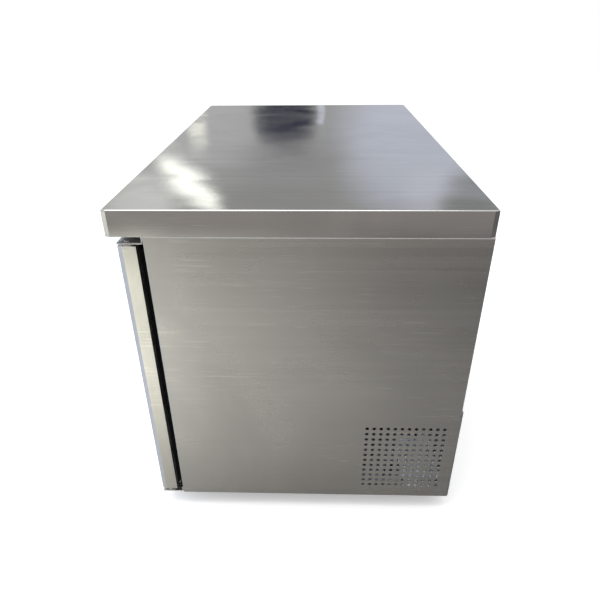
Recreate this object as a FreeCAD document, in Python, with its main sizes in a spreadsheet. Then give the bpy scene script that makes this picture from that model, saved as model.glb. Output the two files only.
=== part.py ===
import FreeCAD, Part
import math
import os

import Sketcher

# Undercounter freezer with a fixed stainless worktop and two side-hung front doors.
# +X is the right-hand end seen from the front, -Y the front, +Z up. The origin is on the floor,
# under the middle of the outline. Lengths are millimetres.

Vector = FreeCAD.Vector
doc = FreeCAD.newDocument("UndercounterFreezer")
sheet = doc.addObject("Spreadsheet::Sheet", "Sizes")
nodes = []
pockets = []


# ---------------------------------------------------------------- sizes that carry their formula

class Size:
    """A length with its value and the expression that gives it from the spreadsheet's cells."""

    def __init__(self, value, text):
        self.value = value
        self.text = text

    def __add__(self, other):
        other = as_size(other)
        return Size(self.value + other.value, f"({self.text} + {other.text})")

    def __radd__(self, other):
        return as_size(other) + self

    def __sub__(self, other):
        other = as_size(other)
        return Size(self.value - other.value, f"({self.text} - {other.text})")

    def __rsub__(self, other):
        return as_size(other) - self

    def __mul__(self, factor):
        factor = as_size(factor)
        return Size(self.value * factor.value, f"({self.text} * {factor.text})")

    def __rmul__(self, factor):
        return self * factor

    def __truediv__(self, divisor):
        divisor = as_size(divisor)
        return Size(self.value / divisor.value, f"({self.text} / {divisor.text})")

    def __neg__(self):
        return Size(-self.value, f"(0 - {self.text})")


def as_size(number):
    return number if isinstance(number, Size) else Size(float(number), f"({float(number)})")


def size(alias, value):
    """Puts one driving dimension in the sheet, under its own name."""
    size.row += 1
    cell = f"A{size.row}"
    sheet.set(cell, str(value))
    sheet.setAlias(cell, alias)
    return Size(float(value), f"Sizes.{alias}")


size.row = 0


# ---------------------------------------------------------------- driving dimensions

# outside
unit_length = size("unit_length", 1200)          # end to end
top_depth = size("top_depth", 700)               # worktop, front to back
top_thick = size("top_thick", 50)                # worktop's folded edge
body_tall = size("body_tall", 650)               # cabinet under the worktop
foot_tall = size("foot_tall", 40)                # floor to the cabinet's underside
front_overhang = size("front_overhang", 18)      # worktop past the doors' faces
rear_proud = size("rear_proud", 3)               # rear cover past the cabinet's back

# sheet metal
top_gauge = size("top_gauge", 1.5)
skin_gauge = size("skin_gauge", 1)
liner_gauge = size("liner_gauge", 0.8)
base_gauge = size("base_gauge", 1.5)
corner_bevel = size("corner_bevel", 9)           # worktop's upright corners, along Y
bend_radius = size("bend_radius", 2.5)           # worktop's top edge, end panels' folds
hem_wide = size("hem_wide", 14)                  # worktop's return under its edge
end_return = size("end_return", 12)              # end panel's folds round the front and the top
end_flange = size("end_flange", 38)              # end panel's flange along the machine bay's floor
end_flange_long = size("end_flange_long", 190)
lip_tall = size("lip_tall", 15)                  # lips that the rear cover is screwed to
snug = size("snug", 0.2)                         # clearance between pieces that fit together

# insulated walls and front frame
wall_side = size("wall_side", 45)
wall_back = size("wall_back", 45)
wall_floor = size("wall_floor", 45)
wall_roof = size("wall_roof", 45)
frame_thick = size("frame_thick", 3)
mullion_wide = size("mullion_wide", 64)
mullion_deep = size("mullion_deep", 45)

# machine bay, along the bottom of the back
bay_deep = size("bay_deep", 240)
bay_tall = size("bay_tall", 256)
vent_bore = size("vent_bore", 8)
vent_pitch = size("vent_pitch", 15.5)
vent_columns = size("vent_columns", 12)
vent_rows = size("vent_rows", 12)
vent_edge = size("vent_edge", 30)                # last column to the cabinet's back
vent_low = size("vent_low", 36)                  # lowest row to the cabinet's underside
slot_wide = size("slot_wide", 6)
slot_tall = size("slot_tall", 70)
slot_pitch = size("slot_pitch", 14)
slot_columns = size("slot_columns", 32)
slot_margin = size("slot_margin", 180)           # last slot to the cabinet's right-hand end
slot_rows = size("slot_rows", 2)
slot_row_pitch = size("slot_row_pitch", 92)

# doors
door_thick = size("door_thick", 35)
gasket_gap = size("gasket_gap", 14)              # door's back to the cabinet's face
door_low_gap = size("door_low_gap", 10.5)        # cabinet's underside to the door
door_top_gap = size("door_top_gap", 18.5)        # door to the worktop's underside
door_end_gap = size("door_end_gap", 1)
door_centre_gap = size("door_centre_gap", 4)
door_bevel = size("door_bevel", 9)               # front edges, along Y
gasket_wide = size("gasket_wide", 18)
gasket_inset = size("gasket_inset", 6)
gasket_hinge_inset = size("gasket_hinge_inset", 14)
gasket_base = size("gasket_base", 3)             # thickness of the foot that clips to the door
gasket_neck_wide = size("gasket_neck_wide", 8)
gasket_head = size("gasket_head", 4)             # thickness of the magnet strip
gasket_head_wide = size("gasket_head_wide", 14)
seal_gap = size("seal_gap", 0.3)
dyke_tall = size("dyke_tall", 7)                 # raised field of the door's inner face
dyke_margin = size("dyke_margin", 8)
pull_wide = size("pull_wide", 26)
pull_tall = size("pull_tall", 170)
pull_deep = size("pull_deep", 20)
pull_wall = size("pull_wall", 2)
pull_rim = size("pull_rim", 5)
pull_proud = size("pull_proud", 1.5)
pull_inset = size("pull_inset", 16)              # door's free edge to the pull's rim
pull_drop = size("pull_drop", 90)                # door's top to the pull's rim

# hinges
pin_inset = size("pin_inset", 12)                # door's outer edge to the pin
pin_radius = size("pin_radius", 4)
pin_reach = size("pin_reach", 14)                # pin inside the door
pin_head_radius = size("pin_head_radius", 5.5)
pin_head_tall = size("pin_head_tall", 2)
collar_radius = size("collar_radius", 7)
running_gap = size("running_gap", 0.05)          # radial, pin in bush and shaft in bearing
bush_radius = size("bush_radius", 7)
bush_tall = size("bush_tall", 18)
bush_flange = size("bush_flange", 1.5)
bush_flange_radius = size("bush_flange_radius", 9)
bracket_gauge = size("bracket_gauge", 2.5)
bracket_wide = size("bracket_wide", 50)
bracket_drop = size("bracket_drop", 12)          # worktop's underside to the top bracket
bracket_lift = size("bracket_lift", 1.5)         # cabinet's underside to the low bracket
bracket_leg = size("bracket_leg", 14)
screw_radius = size("screw_radius", 2.5)
screw_head_radius = size("screw_head_radius", 4.25)
screw_head = size("screw_head", 2)
screw_spacing = size("screw_spacing", 22)
screw_shift = size("screw_shift", 6)             # hinge screws, inwards from the bracket's middle
bend_inside = size("bend_inside", 1.5)           # inside radius of a bracket's fold

# feet
foot_inset = size("foot_inset", 75)
rear_foot_inset = size("rear_foot_inset", 130)   # from the cabinet's back
foot_pad_radius = size("foot_pad_radius", 22)
foot_pad_tall = size("foot_pad_tall", 9)
stem_radius = size("stem_radius", 6)
stem_reach = size("stem_reach", 26)              # stem inside the cabinet's base
socket_radius = size("socket_radius", 10)
socket_tall = size("socket_tall", 30)
socket_cap = size("socket_cap", 2)

# inside
shelf_rise = size("shelf_rise", 89)              # machine bay's top to the shelf's underside
shelf_wire = size("shelf_wire", 2)
shelf_rod = size("shelf_rod", 3)
shelf_wires = size("shelf_wires", 20)
shelf_clear = size("shelf_clear", 12)            # round a shelf
strip_wide = size("strip_wide", 22)
strip_thick = size("strip_thick", 2)
strip_margin = size("strip_margin", 16)
strip_slot_pitch = size("strip_slot_pitch", 25)
clip_wide = size("clip_wide", 18)
clip_reach = size("clip_reach", 16)
clip_tall = size("clip_tall", 10)
front_strip = size("front_strip", 55)            # cavity's mouth to the front strips
rear_strip = size("rear_strip", 425)             # cavity's mouth to the rear strips
evaporator_wide = size("evaporator_wide", 460)
evaporator_deep = size("evaporator_deep", 120)
evaporator_gap = size("evaporator_gap", 22)      # over and under the evaporator's cover
cover_gauge = size("cover_gauge", 1.2)
fan_offset = size("fan_offset", 118)             # evaporator fan's axis from the middle
cold_fan_radius = size("cold_fan_radius", 74)
fan_clearance = size("fan_clearance", 4)
fin_thick = size("fin_thick", 0.6)
cold_fins = size("cold_fins", 26)
cold_fin_deep = size("cold_fin_deep", 56)
cold_fin_tall = size("cold_fin_tall", 190)
tube_radius = size("tube_radius", 4)
knob_radius = size("knob_radius", 18)
knob_tall = size("knob_tall", 15)
shaft_radius = size("shaft_radius", 3)

# refrigeration machinery
condenser_gap = size("condenser_gap", 208)       # end panel to the coil
condenser_thick = size("condenser_thick", 40)
condenser_wide = size("condenser_wide", 126)
condenser_tall = size("condenser_tall", 165)
condenser_lift = size("condenser_lift", 38)      # cabinet's underside to the coil
condenser_edge = size("condenser_edge", 20)      # coil to the cabinet's back
hot_fins = size("hot_fins", 22)
tube_rows = size("tube_rows", 6)
hot_fan_radius = size("hot_fan_radius", 52)
shroud_deep = size("shroud_deep", 42)
compressor_radius = size("compressor_radius", 70)
compressor_x = size("compressor_x", 110)         # from the middle
grommet_tall = size("grommet_tall", 16)
pipe_radius = size("pipe_radius", 4)
foil_radius = size("foil_radius", 9)             # suction pipe in its foil-faced sleeve
drain_radius = size("drain_radius", 9)
pan_gap = size("pan_gap", 41)                    # end panel to the pan
pan_edge = size("pan_edge", 17)                  # pan's rim to the cabinet's back
pan_long = size("pan_long", 152)
pan_wide = size("pan_wide", 80)
pan_tall = size("pan_tall", 18)
pan_rim = size("pan_rim", 6)
pan_gauge = size("pan_gauge", 1)
drier_radius = size("drier_radius", 11)
capillary_radius = size("capillary_radius", 2.5)
drain_x = size("drain_x", 60)
evaporator_end = size("evaporator_end", 50)      # fins to the evaporator cover's end
chase_inset = size("chase_inset", 24)            # chase to the evaporator cover's end
chase_radius = size("chase_radius", 20)
grommet_x = size("grommet_x", -520)
grommet_up = size("grommet_up", 50)
cord_radius = size("cord_radius", 5)

# ---------------------------------------------------------------- planes that the pieces share

half = unit_length / 2
front = -(top_depth + rear_proud + screw_head) / 2
back = front + top_depth
rear = back + rear_proud
low = foot_tall
high = low + body_tall
top = high + top_thick
door_front = front + front_overhang
door_back = door_front + door_thick
cabinet_front = door_back + gasket_gap
mouth = cabinet_front + frame_thick
cavity_half = half - wall_side
cavity_low = low + wall_floor
cavity_high = high - wall_roof
cavity_back = back - wall_back
bay_front = back - bay_deep
step_front = bay_front - wall_back
step_top = low + bay_tall + wall_floor
pin_x = half - door_end_gap - pin_inset
pin_y = door_front + door_thick / 2
door_low = low + door_low_gap
door_high = high - door_top_gap
shelf_z = low + bay_tall + shelf_rise
cover_front = cavity_back - liner_gauge - evaporator_deep
chase_x = evaporator_wide / 2 - chase_inset
chase_y = cavity_back - wall_back
foot_y = {"front": cabinet_front + foot_inset, "rear": back - rear_foot_inset}


# ---------------------------------------------------------------- ways to make a shape

def bind(thing, prop, amount):
    thing.setExpression(prop, as_size(amount).text)


def put(thing, x, y, z):
    bind(thing, "Placement.Base.x", x)
    bind(thing, "Placement.Base.y", y)
    bind(thing, "Placement.Base.z", z)
    return thing


def box(x, y, z):
    """A block between pairs of X, Y and Z places."""
    block = doc.addObject("Part::Box", "Block")
    bind(block, "Length", x[1] - x[0])
    bind(block, "Width", y[1] - y[0])
    bind(block, "Height", z[1] - z[0])
    return put(block, x[0], y[0], z[0])


TURNS = {
    "X": FreeCAD.Rotation(Vector(0, 1, 0), 90),
    "Y": FreeCAD.Rotation(Vector(1, 0, 0), -90),
    "Z": FreeCAD.Rotation(),
}


def along(axis, centre, span):
    """The start point of something that runs along an axis, from its centre in the other two."""
    first, second = centre
    start = span[0]
    return {"X": (start, first, second), "Y": (first, start, second), "Z": (first, second, start)}[axis]


def rod(axis, centre, radius, span):
    """A cylinder along X, Y or Z; centre holds its other two places, in X, Y, Z order."""
    cylinder = doc.addObject("Part::Cylinder", "Rod")
    cylinder.Placement.Rotation = TURNS[axis]
    bind(cylinder, "Radius", radius)
    bind(cylinder, "Height", span[1] - span[0])
    return put(cylinder, *along(axis, centre, span))


def cone(axis, centre, radii, span):
    taper = doc.addObject("Part::Cone", "Taper")
    taper.Placement.Rotation = TURNS[axis]
    bind(taper, "Radius1", radii[0])
    bind(taper, "Radius2", radii[1])
    bind(taper, "Height", span[1] - span[0])
    return put(taper, *along(axis, centre, span))


def fuse(*shapes):
    joined = doc.addObject("Part::MultiFuse", "Joined")
    joined.Shapes = list(shapes)
    return joined


def cut(base, *tools):
    result = doc.addObject("Part::Cut", "Cut")
    result.Base = base
    result.Tool = tools[0] if len(tools) == 1 else fuse(*tools)
    return result


def together(*solids):
    """Separate solids that are one kind of piece, such as screws."""
    kept = doc.addObject("Part::Compound", "Set")
    kept.Links = list(solids)
    return kept


def piece(label, shape):
    """Names a finished sub-part, and its file."""
    shape.Label = label
    nodes.append(shape)
    return shape


def rectangle(u, v):
    return [(u[0], v[0]), (u[1], v[0]), (u[1], v[1]), (u[0], v[1])]


def plane_of(body, plane):
    return [f for f in body.Origin.OriginFeatures if f.Role == f"{plane}_Plane"][0]


def sketch(body, plane, level, outlines, circles=()):
    """A sketch on a plane of the body, each corner and centre tied to the sheet.

    XZ faces -Y, so its level along the normal is the Y place turned round.
    """
    drawn = body.newObject("Sketcher::SketchObject", "Outline")
    drawn.AttachmentSupport = [(plane_of(body, plane), "")]
    drawn.MapMode = "FlatFace"
    bind(drawn, "AttachmentOffset.Base.z", -level if plane == "XZ" else level)
    for outline in outlines:
        corners = [(as_size(u), as_size(v)) for u, v in outline]
        first = drawn.GeometryCount
        for i, (u, v) in enumerate(corners):
            nu, nv = corners[(i + 1) % len(corners)]
            ends = Vector(u.value, v.value, 0), Vector(nu.value, nv.value, 0)
            drawn.addGeometry(Part.LineSegment(*ends), False)
        for i, (u, v) in enumerate(corners):
            line = first + i
            following = first + (i + 1) % len(corners)
            drawn.addConstraint(Sketcher.Constraint("Coincident", line, 2, following, 1))
            for kind, amount in (("DistanceX", u), ("DistanceY", v)):
                rule = Sketcher.Constraint(kind, -1, 1, line, 1, amount.value)
                number = drawn.addConstraint(rule)
                bind(drawn, f"Constraints[{number}]", amount)
    for u, v, radius in circles:
        u, v, radius = as_size(u), as_size(v), as_size(radius)
        centre = Vector(u.value, v.value, 0)
        ring = drawn.addGeometry(Part.Circle(centre, Vector(0, 0, 1), radius.value), False)
        for rule, amount in (
            (Sketcher.Constraint("DistanceX", -1, 1, ring, 3, u.value), u),
            (Sketcher.Constraint("DistanceY", -1, 1, ring, 3, v.value), v),
            (Sketcher.Constraint("Radius", ring, radius.value), radius),
        ):
            number = drawn.addConstraint(rule)
            bind(drawn, f"Constraints[{number}]", amount)
    return drawn


def new_body():
    return doc.addObject("PartDesign::Body", "Body")


def pad(body, plane, span, outlines, circles=()):
    """Adds material between two levels of a plane."""
    level = span[1] if plane == "XZ" else span[0]
    drawn = sketch(body, plane, level, outlines, circles)
    feature = body.newObject("PartDesign::Pad", "Pad")
    feature.Profile = drawn
    bind(feature, "Length", span[1] - span[0])
    return feature


def pocket(body, plane, span, outlines, circles=()):
    """Takes material away between two levels of a plane."""
    base = body.Tip
    level = span[0] if plane == "XZ" else span[1]
    drawn = sketch(body, plane, level, outlines, circles)
    feature = body.newObject("PartDesign::Pocket", "Pocket")
    feature.Profile = drawn
    bind(feature, "Length", span[1] - span[0])
    pockets.append((feature, base))
    return feature


def grid(body, feature, columns, column_pitch, rows, row_pitch):
    """Repeats a feature along its sketch's two axes."""
    drawn = feature.Profile[0]
    pattern = body.newObject("PartDesign::LinearPattern", "Grid")
    pattern.Originals = [feature]
    pattern.Direction = (drawn, ["H_Axis"])
    pattern.Direction2 = (drawn, ["V_Axis"])
    bind(pattern, "Length", (columns - 1) * column_pitch)
    bind(pattern, "Length2", (rows - 1) * row_pitch)
    bind(pattern, "Occurrences", columns)
    bind(pattern, "Occurrences2", rows)
    body.Tip = pattern
    return pattern


def round_edges(body, radius, chosen):
    """Rounds the edges that the test picks out of the body's shape."""
    doc.recompute()
    base = body.Tip
    names = [f"Edge{i + 1}" for i, edge in enumerate(base.Shape.Edges) if chosen(edge)]
    feature = body.newObject("PartDesign::Fillet", "Round")
    feature.Base = (base, names)
    bind(feature, "Radius", radius)
    return feature


def prism(plane, span, outlines, circles=()):
    body = new_body()
    pad(body, plane, span, outlines, circles)
    return body


def sided(side, inner, outer):
    """An X span at the right (side 1) or mirrored to the left (side -1)."""
    return (inner, outer) if side > 0 else (-outer, -inner)


def tube_along(points, radius, bend):
    """A round pipe through points, each corner turned on the given bend radius."""
    edges = []
    start = points[0]
    for i in range(1, len(points) - 1):
        corner = points[i]
        inward = (points[i - 1] - corner).normalize()
        onward = (points[i + 1] - corner).normalize()
        opening = inward.getAngle(onward)
        reach = bend / math.tan(opening / 2)
        enter = corner + inward * reach
        leave = corner + onward * reach
        bisector = (inward + onward).normalize()
        middle = corner + bisector * (bend / math.sin(opening / 2) - bend)
        edges.append(Part.LineSegment(start, enter).toShape())
        edges.append(Part.Arc(enter, middle, leave).toShape())
        start = leave
    edges.append(Part.LineSegment(start, points[-1]).toShape())
    path = Part.Wire(edges)
    heading = points[1] - points[0]
    section = Part.Wire(Part.Circle(points[0], heading, radius).toShape())
    return path.makePipeShell([section], True, True)


def pipe_feature(points, radius, bend):
    """A bent pipe of straight runs and arcs, its places worked out from the sheet's values."""
    places = [Vector(*[as_size(c).value for c in point]) for point in points]
    feature = doc.addObject("Part::Feature", "Pipe")
    feature.Shape = tube_along(places, radius.value, bend)
    return feature


def pipe(label, points, radius, bend):
    return piece(label, pipe_feature(points, radius, bend))


# ---------------------------------------------------------------- worktop

BEVEL_SLANT = 1 / 3      # a bevel's length along X over its length along Y


def bevel_legs(reach, inset):
    """A bevel's lengths along X and along Y, on an outline moved in by an inset."""
    lost = 1 + BEVEL_SLANT - math.hypot(1, BEVEL_SLANT)
    return reach * BEVEL_SLANT - inset * lost, reach - inset * (lost / BEVEL_SLANT)


def bevelled(inset):
    """The worktop's outline in plan, moved in by an inset."""
    nip, run = bevel_legs(corner_bevel, inset)
    x, y0, y1 = half - inset, front + inset, back - inset
    return [
        (-x + nip, y0), (x - nip, y0), (x, y0 + run), (x, y1 - run),
        (x - nip, y1), (-x + nip, y1), (-x, y1 - run), (-x, y0 + run),
    ]


def make_worktop():
    """Folded sheet: flat top, edges turned down, welded bevelled corners, a hem turned in below."""
    body = prism("XY", (high, top), [bevelled(as_size(0))])
    round_edges(body, bend_radius, lambda e: e.BoundBox.ZMin > top.value - 0.01)
    pocket(body, "XY", (high + top_gauge, top - top_gauge), [bevelled(top_gauge)])
    hem = rectangle((-half + hem_wide, half - hem_wide), (front + hem_wide, back - hem_wide))
    pocket(body, "XY", (high, high + top_gauge), [hem])
    piece("worktop", body)
    board = prism("XY", (high + top_gauge + snug, top - top_gauge - snug), [bevelled(top_gauge + snug)])
    piece("worktop_board", board)


# ---------------------------------------------------------------- outer panels

def is_outer_fold(edge, side):
    """Whether an edge runs along an end panel's front fold or its top one."""
    b = edge.BoundBox
    on_face = abs(b.XMin - side * half.value) < 0.01 and abs(b.XMax - side * half.value) < 0.01
    front_fold = b.YMax < cabinet_front.value + 0.01
    top_fold = b.ZMin > high.value - 0.01
    return on_face and (front_fold or top_fold)


def make_end_panel(side, label):
    """Side sheet folded round the front and the top, with the machine bay's vent punched in it."""
    body = prism("YZ", sided(side, half - end_return, half), [rectangle((cabinet_front, back), (low, high))])
    round_edges(body, bend_radius, lambda edge: is_outer_fold(edge, side))
    sheet_span = sided(side, half - skin_gauge, half)
    inside = rectangle((cabinet_front + skin_gauge, back), (low, high - skin_gauge))
    pocket(body, "YZ", sided(side, half - end_return, half - skin_gauge), [inside])
    behind = rectangle((back - skin_gauge, back), (high - skin_gauge, high))
    pocket(body, "YZ", sided(side, half - end_return, half - skin_gauge), [behind])
    flange_y = (back - end_flange_long, back - skin_gauge)
    flange = rectangle(sided(side, half - skin_gauge - end_flange, half - skin_gauge), flange_y)
    pad(body, "XY", (low + base_gauge, low + base_gauge + skin_gauge), [flange])
    first_y = back - vent_edge - (vent_columns - 1) * vent_pitch
    hole = pocket(body, "YZ", sheet_span, [], [(first_y, low + vent_low, vent_bore / 2)])
    grid(body, hole, vent_columns, vent_pitch, vent_rows, vent_pitch)
    piece(label, body)


def cover_screw_places():
    """Where the rear cover's screws go: four along its top lip, four along its bottom lip."""
    across = [-half + 20, -half / 3, half / 3, half - 20]
    return [(x, z) for z in (low + lip_tall / 2 + 1, low + bay_tall - lip_tall / 2) for x in across]


def make_base_panel():
    """Galvanised bottom sheet with a lip at the back and holes for the feet."""
    body = new_body()
    x = half - skin_gauge
    y0 = cabinet_front + frame_thick
    holes = [(s * (half - foot_inset), y, stem_radius + snug) for s in (-1, 1) for y in foot_y.values()]
    pad(body, "XY", (low, low + base_gauge), [rectangle((-x, x), (y0, back))], holes)
    lip = rectangle((-x, x), (low + base_gauge, low + lip_tall))
    screws = [(px, pz, screw_radius) for px, pz in cover_screw_places()[:4]]
    pad(body, "XZ", (back - skin_gauge, back), [lip], screws)
    piece("base_panel", body)


def make_bay_bulkhead():
    """Folded sheet that is the machine bay's front wall and roof, with a screw lip at the back."""
    x = half - skin_gauge
    roof = low + bay_tall
    body = new_body()
    wall = rectangle((bay_front, bay_front + skin_gauge), (low + base_gauge, roof))
    pad(body, "YZ", (-x, x), [wall])
    deck = rectangle((-x, x), (bay_front + skin_gauge, back))
    holes = [
        (chase_x, chase_y, chase_radius),
        (drain_x, chase_y, drain_radius + snug),
    ]
    pad(body, "XY", (roof - skin_gauge, roof), [deck], holes)
    lip = rectangle((-x, x), (roof - lip_tall, roof - skin_gauge))
    screws = [(px, pz, screw_radius) for px, pz in cover_screw_places()[4:]]
    pad(body, "XZ", (back - skin_gauge, back), [lip], screws)
    piece("bay_bulkhead", body)


def make_back_panel():
    """Outer sheet over the insulated part of the back."""
    x = half - skin_gauge
    outline = rectangle((-x, x), (low + bay_tall, high))
    piece("back_panel", prism("XZ", (back - skin_gauge, back), [outline]))


def make_rear_cover():
    """Screwed pan over the machine bay, slotted for air, standing proud of the cabinet's back."""
    body = new_body()
    z = (low + bracket_lift, low + bay_tall)
    outline = rectangle((-half, half), z)
    holes = [(px, pz, screw_radius) for px, pz in cover_screw_places()]
    holes.append((grommet_x, low + grommet_up, cord_radius + 4))
    pad(body, "XZ", (rear - skin_gauge, rear), [outline], holes)
    inner = rectangle((-half + skin_gauge, half - skin_gauge), (z[0] + skin_gauge, z[1] - skin_gauge))
    pad(body, "XZ", (back, rear - skin_gauge), [outline, inner])
    first_x = half - slot_margin - slot_columns * slot_pitch
    first_z = z[0] + 30
    slot = rectangle((first_x, first_x + slot_wide), (first_z, first_z + slot_tall))
    opening = pocket(body, "XZ", (rear - skin_gauge, rear), [slot])
    grid(body, opening, slot_columns, slot_pitch, slot_rows, slot_row_pitch)
    piece("rear_cover", body)


def screw_y(x, z, under_head, length, direction):
    """A pan-head screw along Y whose head sits outside the plane under_head."""
    if direction > 0:
        head, shank = (under_head, under_head + screw_head), (under_head - length, under_head)
    else:
        head, shank = (under_head - screw_head, under_head), (under_head, under_head + length)
    return fuse(
        rod("Y", (x, z), screw_head_radius, head),
        rod("Y", (x, z), screw_radius - snug / 2, shank),
    )


def make_cover_screws():
    reach = rear_proud + skin_gauge
    piece("cover_screws", together(*[screw_y(x, z, rear, reach, 1) for x, z in cover_screw_places()]))


# ---------------------------------------------------------------- insulated cabinet

def make_insulation():
    """Rigid foam between the outer panels and the liner, as slabs that meet face to face."""
    x = (-half + skin_gauge, half - skin_gauge)
    sockets = [
        rod("Z", (s * (half - foot_inset), foot_y["front"]), socket_radius + snug, (low, cavity_low))
        for s in (-1, 1)
    ]
    floor = cut(box(x, (mouth, bay_front), (low + base_gauge, cavity_low)), *sockets)
    step_wall = box(x, (step_front, bay_front), (cavity_low, step_top))
    deck_z = (low + bay_tall, step_top)
    step_deck = cut(
        box(x, (bay_front, back - skin_gauge), deck_z),
        rod("Z", (chase_x, chase_y), chase_radius, deck_z),
        rod("Z", (drain_x, chase_y), drain_radius + snug, deck_z),
    )
    folds = [
        box(sided(side, half - end_return, half), (mouth, back), (high - skin_gauge, high))
        for side in (1, -1)
    ]
    rear_slab = cut(box(x, (cavity_back, back - skin_gauge), (step_top, high)), *folds)
    roof = cut(box(x, (mouth, cavity_back), (cavity_high, high)), *folds)
    ends = []
    for side in (1, -1):
        wall = sided(side, cavity_half, half - skin_gauge)
        ends.append(box(wall, (mouth, step_front), (cavity_low, step_top)))
        ends.append(box(wall, (mouth, cavity_back), (step_top, cavity_high)))
    piece("cabinet_insulation", together(floor, step_wall, step_deck, rear_slab, roof, *ends))


def stepped(inset):
    """The cavity's outline seen from the end, moved in by an inset, open at the mouth."""
    y = mouth
    return [
        (y, cavity_low + inset), (step_front - inset, cavity_low + inset),
        (step_front - inset, step_top + inset), (cavity_back - inset, step_top + inset),
        (cavity_back - inset, cavity_high - inset), (y, cavity_high - inset),
    ]


def make_liner():
    """Stainless lining of the cavity, stepped over the machine bay and open at the front."""
    body = prism("YZ", (-cavity_half, cavity_half), [stepped(as_size(0))])
    inside = cavity_half - liner_gauge
    pocket(body, "YZ", (-inside, inside), [stepped(liner_gauge)])
    drains = [
        (chase_x, chase_y, chase_radius),
        (drain_x, chase_y, drain_radius + snug),
    ]
    pocket(body, "XY", (step_top, step_top + liner_gauge), [], drains)
    piece("inner_liner", body)


def hinge_screw_places(level):
    """Two screws through each hinge bracket's upright leg."""
    middle = half - door_end_gap - bracket_wide / 2 - screw_shift
    return [
        (s * (middle + t * screw_spacing / 2), level) for s in (1, -1) for t in (-1, 1)
    ]


top_screw_z = high - bracket_drop / 2
low_screw_z = low + bracket_lift + bracket_gauge + (bracket_leg - bracket_gauge) / 2


def make_face_frame():
    """Welded strips round the two doorways, which the gaskets close on."""
    x = half - end_return - snug
    way_x = (mullion_wide / 2, cavity_half - liner_gauge)
    way_z = (cavity_low + liner_gauge, cavity_high - liner_gauge)
    y = (cabinet_front, mouth)
    strips = [prism("XZ", y, [rectangle((-way_x[0], way_x[0]), way_z)])]
    for side in (1, -1):
        strips.append(prism("XZ", y, [rectangle(sided(side, way_x[1], x), way_z)]))
    for level, z in ((low_screw_z, (low, way_z[0])), (top_screw_z, (way_z[1], high))):
        screws = [(px, pz, screw_radius) for px, pz in hinge_screw_places(level)]
        strips.append(prism("XZ", y, [rectangle((-x, x), z)], screws))
    piece("face_frame", together(*strips))


def make_mullion():
    """Box section behind the frame's middle post, from the cavity's floor to its roof."""
    x, wall = mullion_wide / 2, skin_gauge
    y = (mouth, mouth + mullion_deep)
    outer = rectangle((-x, x), y)
    inner = rectangle((-x + wall, x - wall), (y[0] + wall, y[1] - wall))
    z = (cavity_low + liner_gauge, cavity_high - liner_gauge)
    piece("mullion", prism("XY", z, [outer, inner]))


# ---------------------------------------------------------------- hinges

def bracket(side, plate_z, leg_z, screw_z):
    """A plate over or under the door with an upright leg screwed to the face frame."""
    x = sided(side, half - door_end_gap - bracket_wide, half - door_end_gap)
    body = new_body()
    plate = rectangle(x, (door_front + snug, cabinet_front))
    pad(body, "XY", plate_z, [plate], [(side * pin_x, pin_y, pin_radius)])
    leg = rectangle(x, leg_z)
    screws = [(px, pz, screw_radius) for px, pz in hinge_screw_places(screw_z) if px.value * side > 0]
    pad(body, "XZ", (cabinet_front - bracket_gauge, cabinet_front), [leg], screws)
    for radius, y, level in (
        (bend_inside, cabinet_front - bracket_gauge, plate_z[1]),
        (bend_inside + bracket_gauge, cabinet_front, plate_z[0]),
    ):
        round_edges(body, radius, lambda edge: runs_along_x(edge, y.value, level.value))
    return body


def runs_along_x(edge, y, z):
    """Whether an edge is a straight one along X at these Y and Z places."""
    b = edge.BoundBox
    spread = max(abs(b.YMin - y), abs(b.YMax - y), abs(b.ZMin - z), abs(b.ZMax - z))
    return b.XLength > 1 and spread < 0.01


top_plate = (high - bracket_drop - bracket_gauge, high - bracket_drop)
low_plate = (low + bracket_lift, low + bracket_lift + bracket_gauge)


def make_brackets():
    top_leg = (top_plate[0], high - snug)
    low_leg = (low_plate[0], low + bracket_lift + bracket_leg)
    tops = [bracket(side, top_plate, top_leg, top_screw_z) for side in (1, -1)]
    lows = [bracket(side, low_plate, low_leg, low_screw_z) for side in (1, -1)]
    piece("top_hinge_brackets", together(*tops))
    piece("bottom_hinge_brackets", together(*lows))


def make_hinge_pins():
    """Top pins hang from the bracket by a head; low pins have a collar that carries the door."""
    pins = []
    for side in (1, -1):
        at = (side * pin_x, pin_y)
        pins.append(fuse(
            rod("Z", at, pin_head_radius, (top_plate[1], top_plate[1] + pin_head_tall)),
            rod("Z", at, pin_radius, (door_high - pin_reach, top_plate[1])),
        ))
        pins.append(fuse(
            rod("Z", at, collar_radius, (low_plate[1], door_low - bush_flange - seal_gap)),
            rod("Z", at, pin_radius, (low_plate[0], door_low + pin_reach)),
        ))
    piece("hinge_pins", together(*pins))


def make_hinge_screws():
    reach = bracket_gauge + frame_thick
    plane = cabinet_front - bracket_gauge
    places = [p for level in (top_screw_z, low_screw_z) for p in hinge_screw_places(level)]
    piece("hinge_screws", together(*[screw_y(x, z, plane, reach, -1) for x, z in places]))


# ---------------------------------------------------------------- doors

def door_plan(side, inset, back_y):
    """The door seen from above, with bevelled front edges, moved in by an inset."""
    nip, run = bevel_legs(door_bevel, inset)
    x = sided(side, door_centre_gap / 2, half - door_end_gap)
    x0, x1, y0 = x[0] + inset, x[1] - inset, door_front + inset
    return [(x0, back_y), (x0, y0 + run), (x0 + nip, y0), (x1 - nip, y0), (x1, y0 + run), (x1, back_y)]


def gasket_ring(side, wide):
    """The gasket's outer and inner outlines, for a strip of the given width on its centre line."""
    outer_edge = half - door_end_gap - gasket_hinge_inset
    inner_edge = door_centre_gap / 2 + gasket_inset
    z = (door_low + gasket_inset, door_high - gasket_inset)
    spare = (gasket_wide - wide) / 2
    rings = []
    for shift in (spare, spare + wide):
        x = sided(side, inner_edge + shift, outer_edge - shift)
        rings.append(rectangle(x, (z[0] + shift, z[1] - shift)))
    return rings


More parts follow.
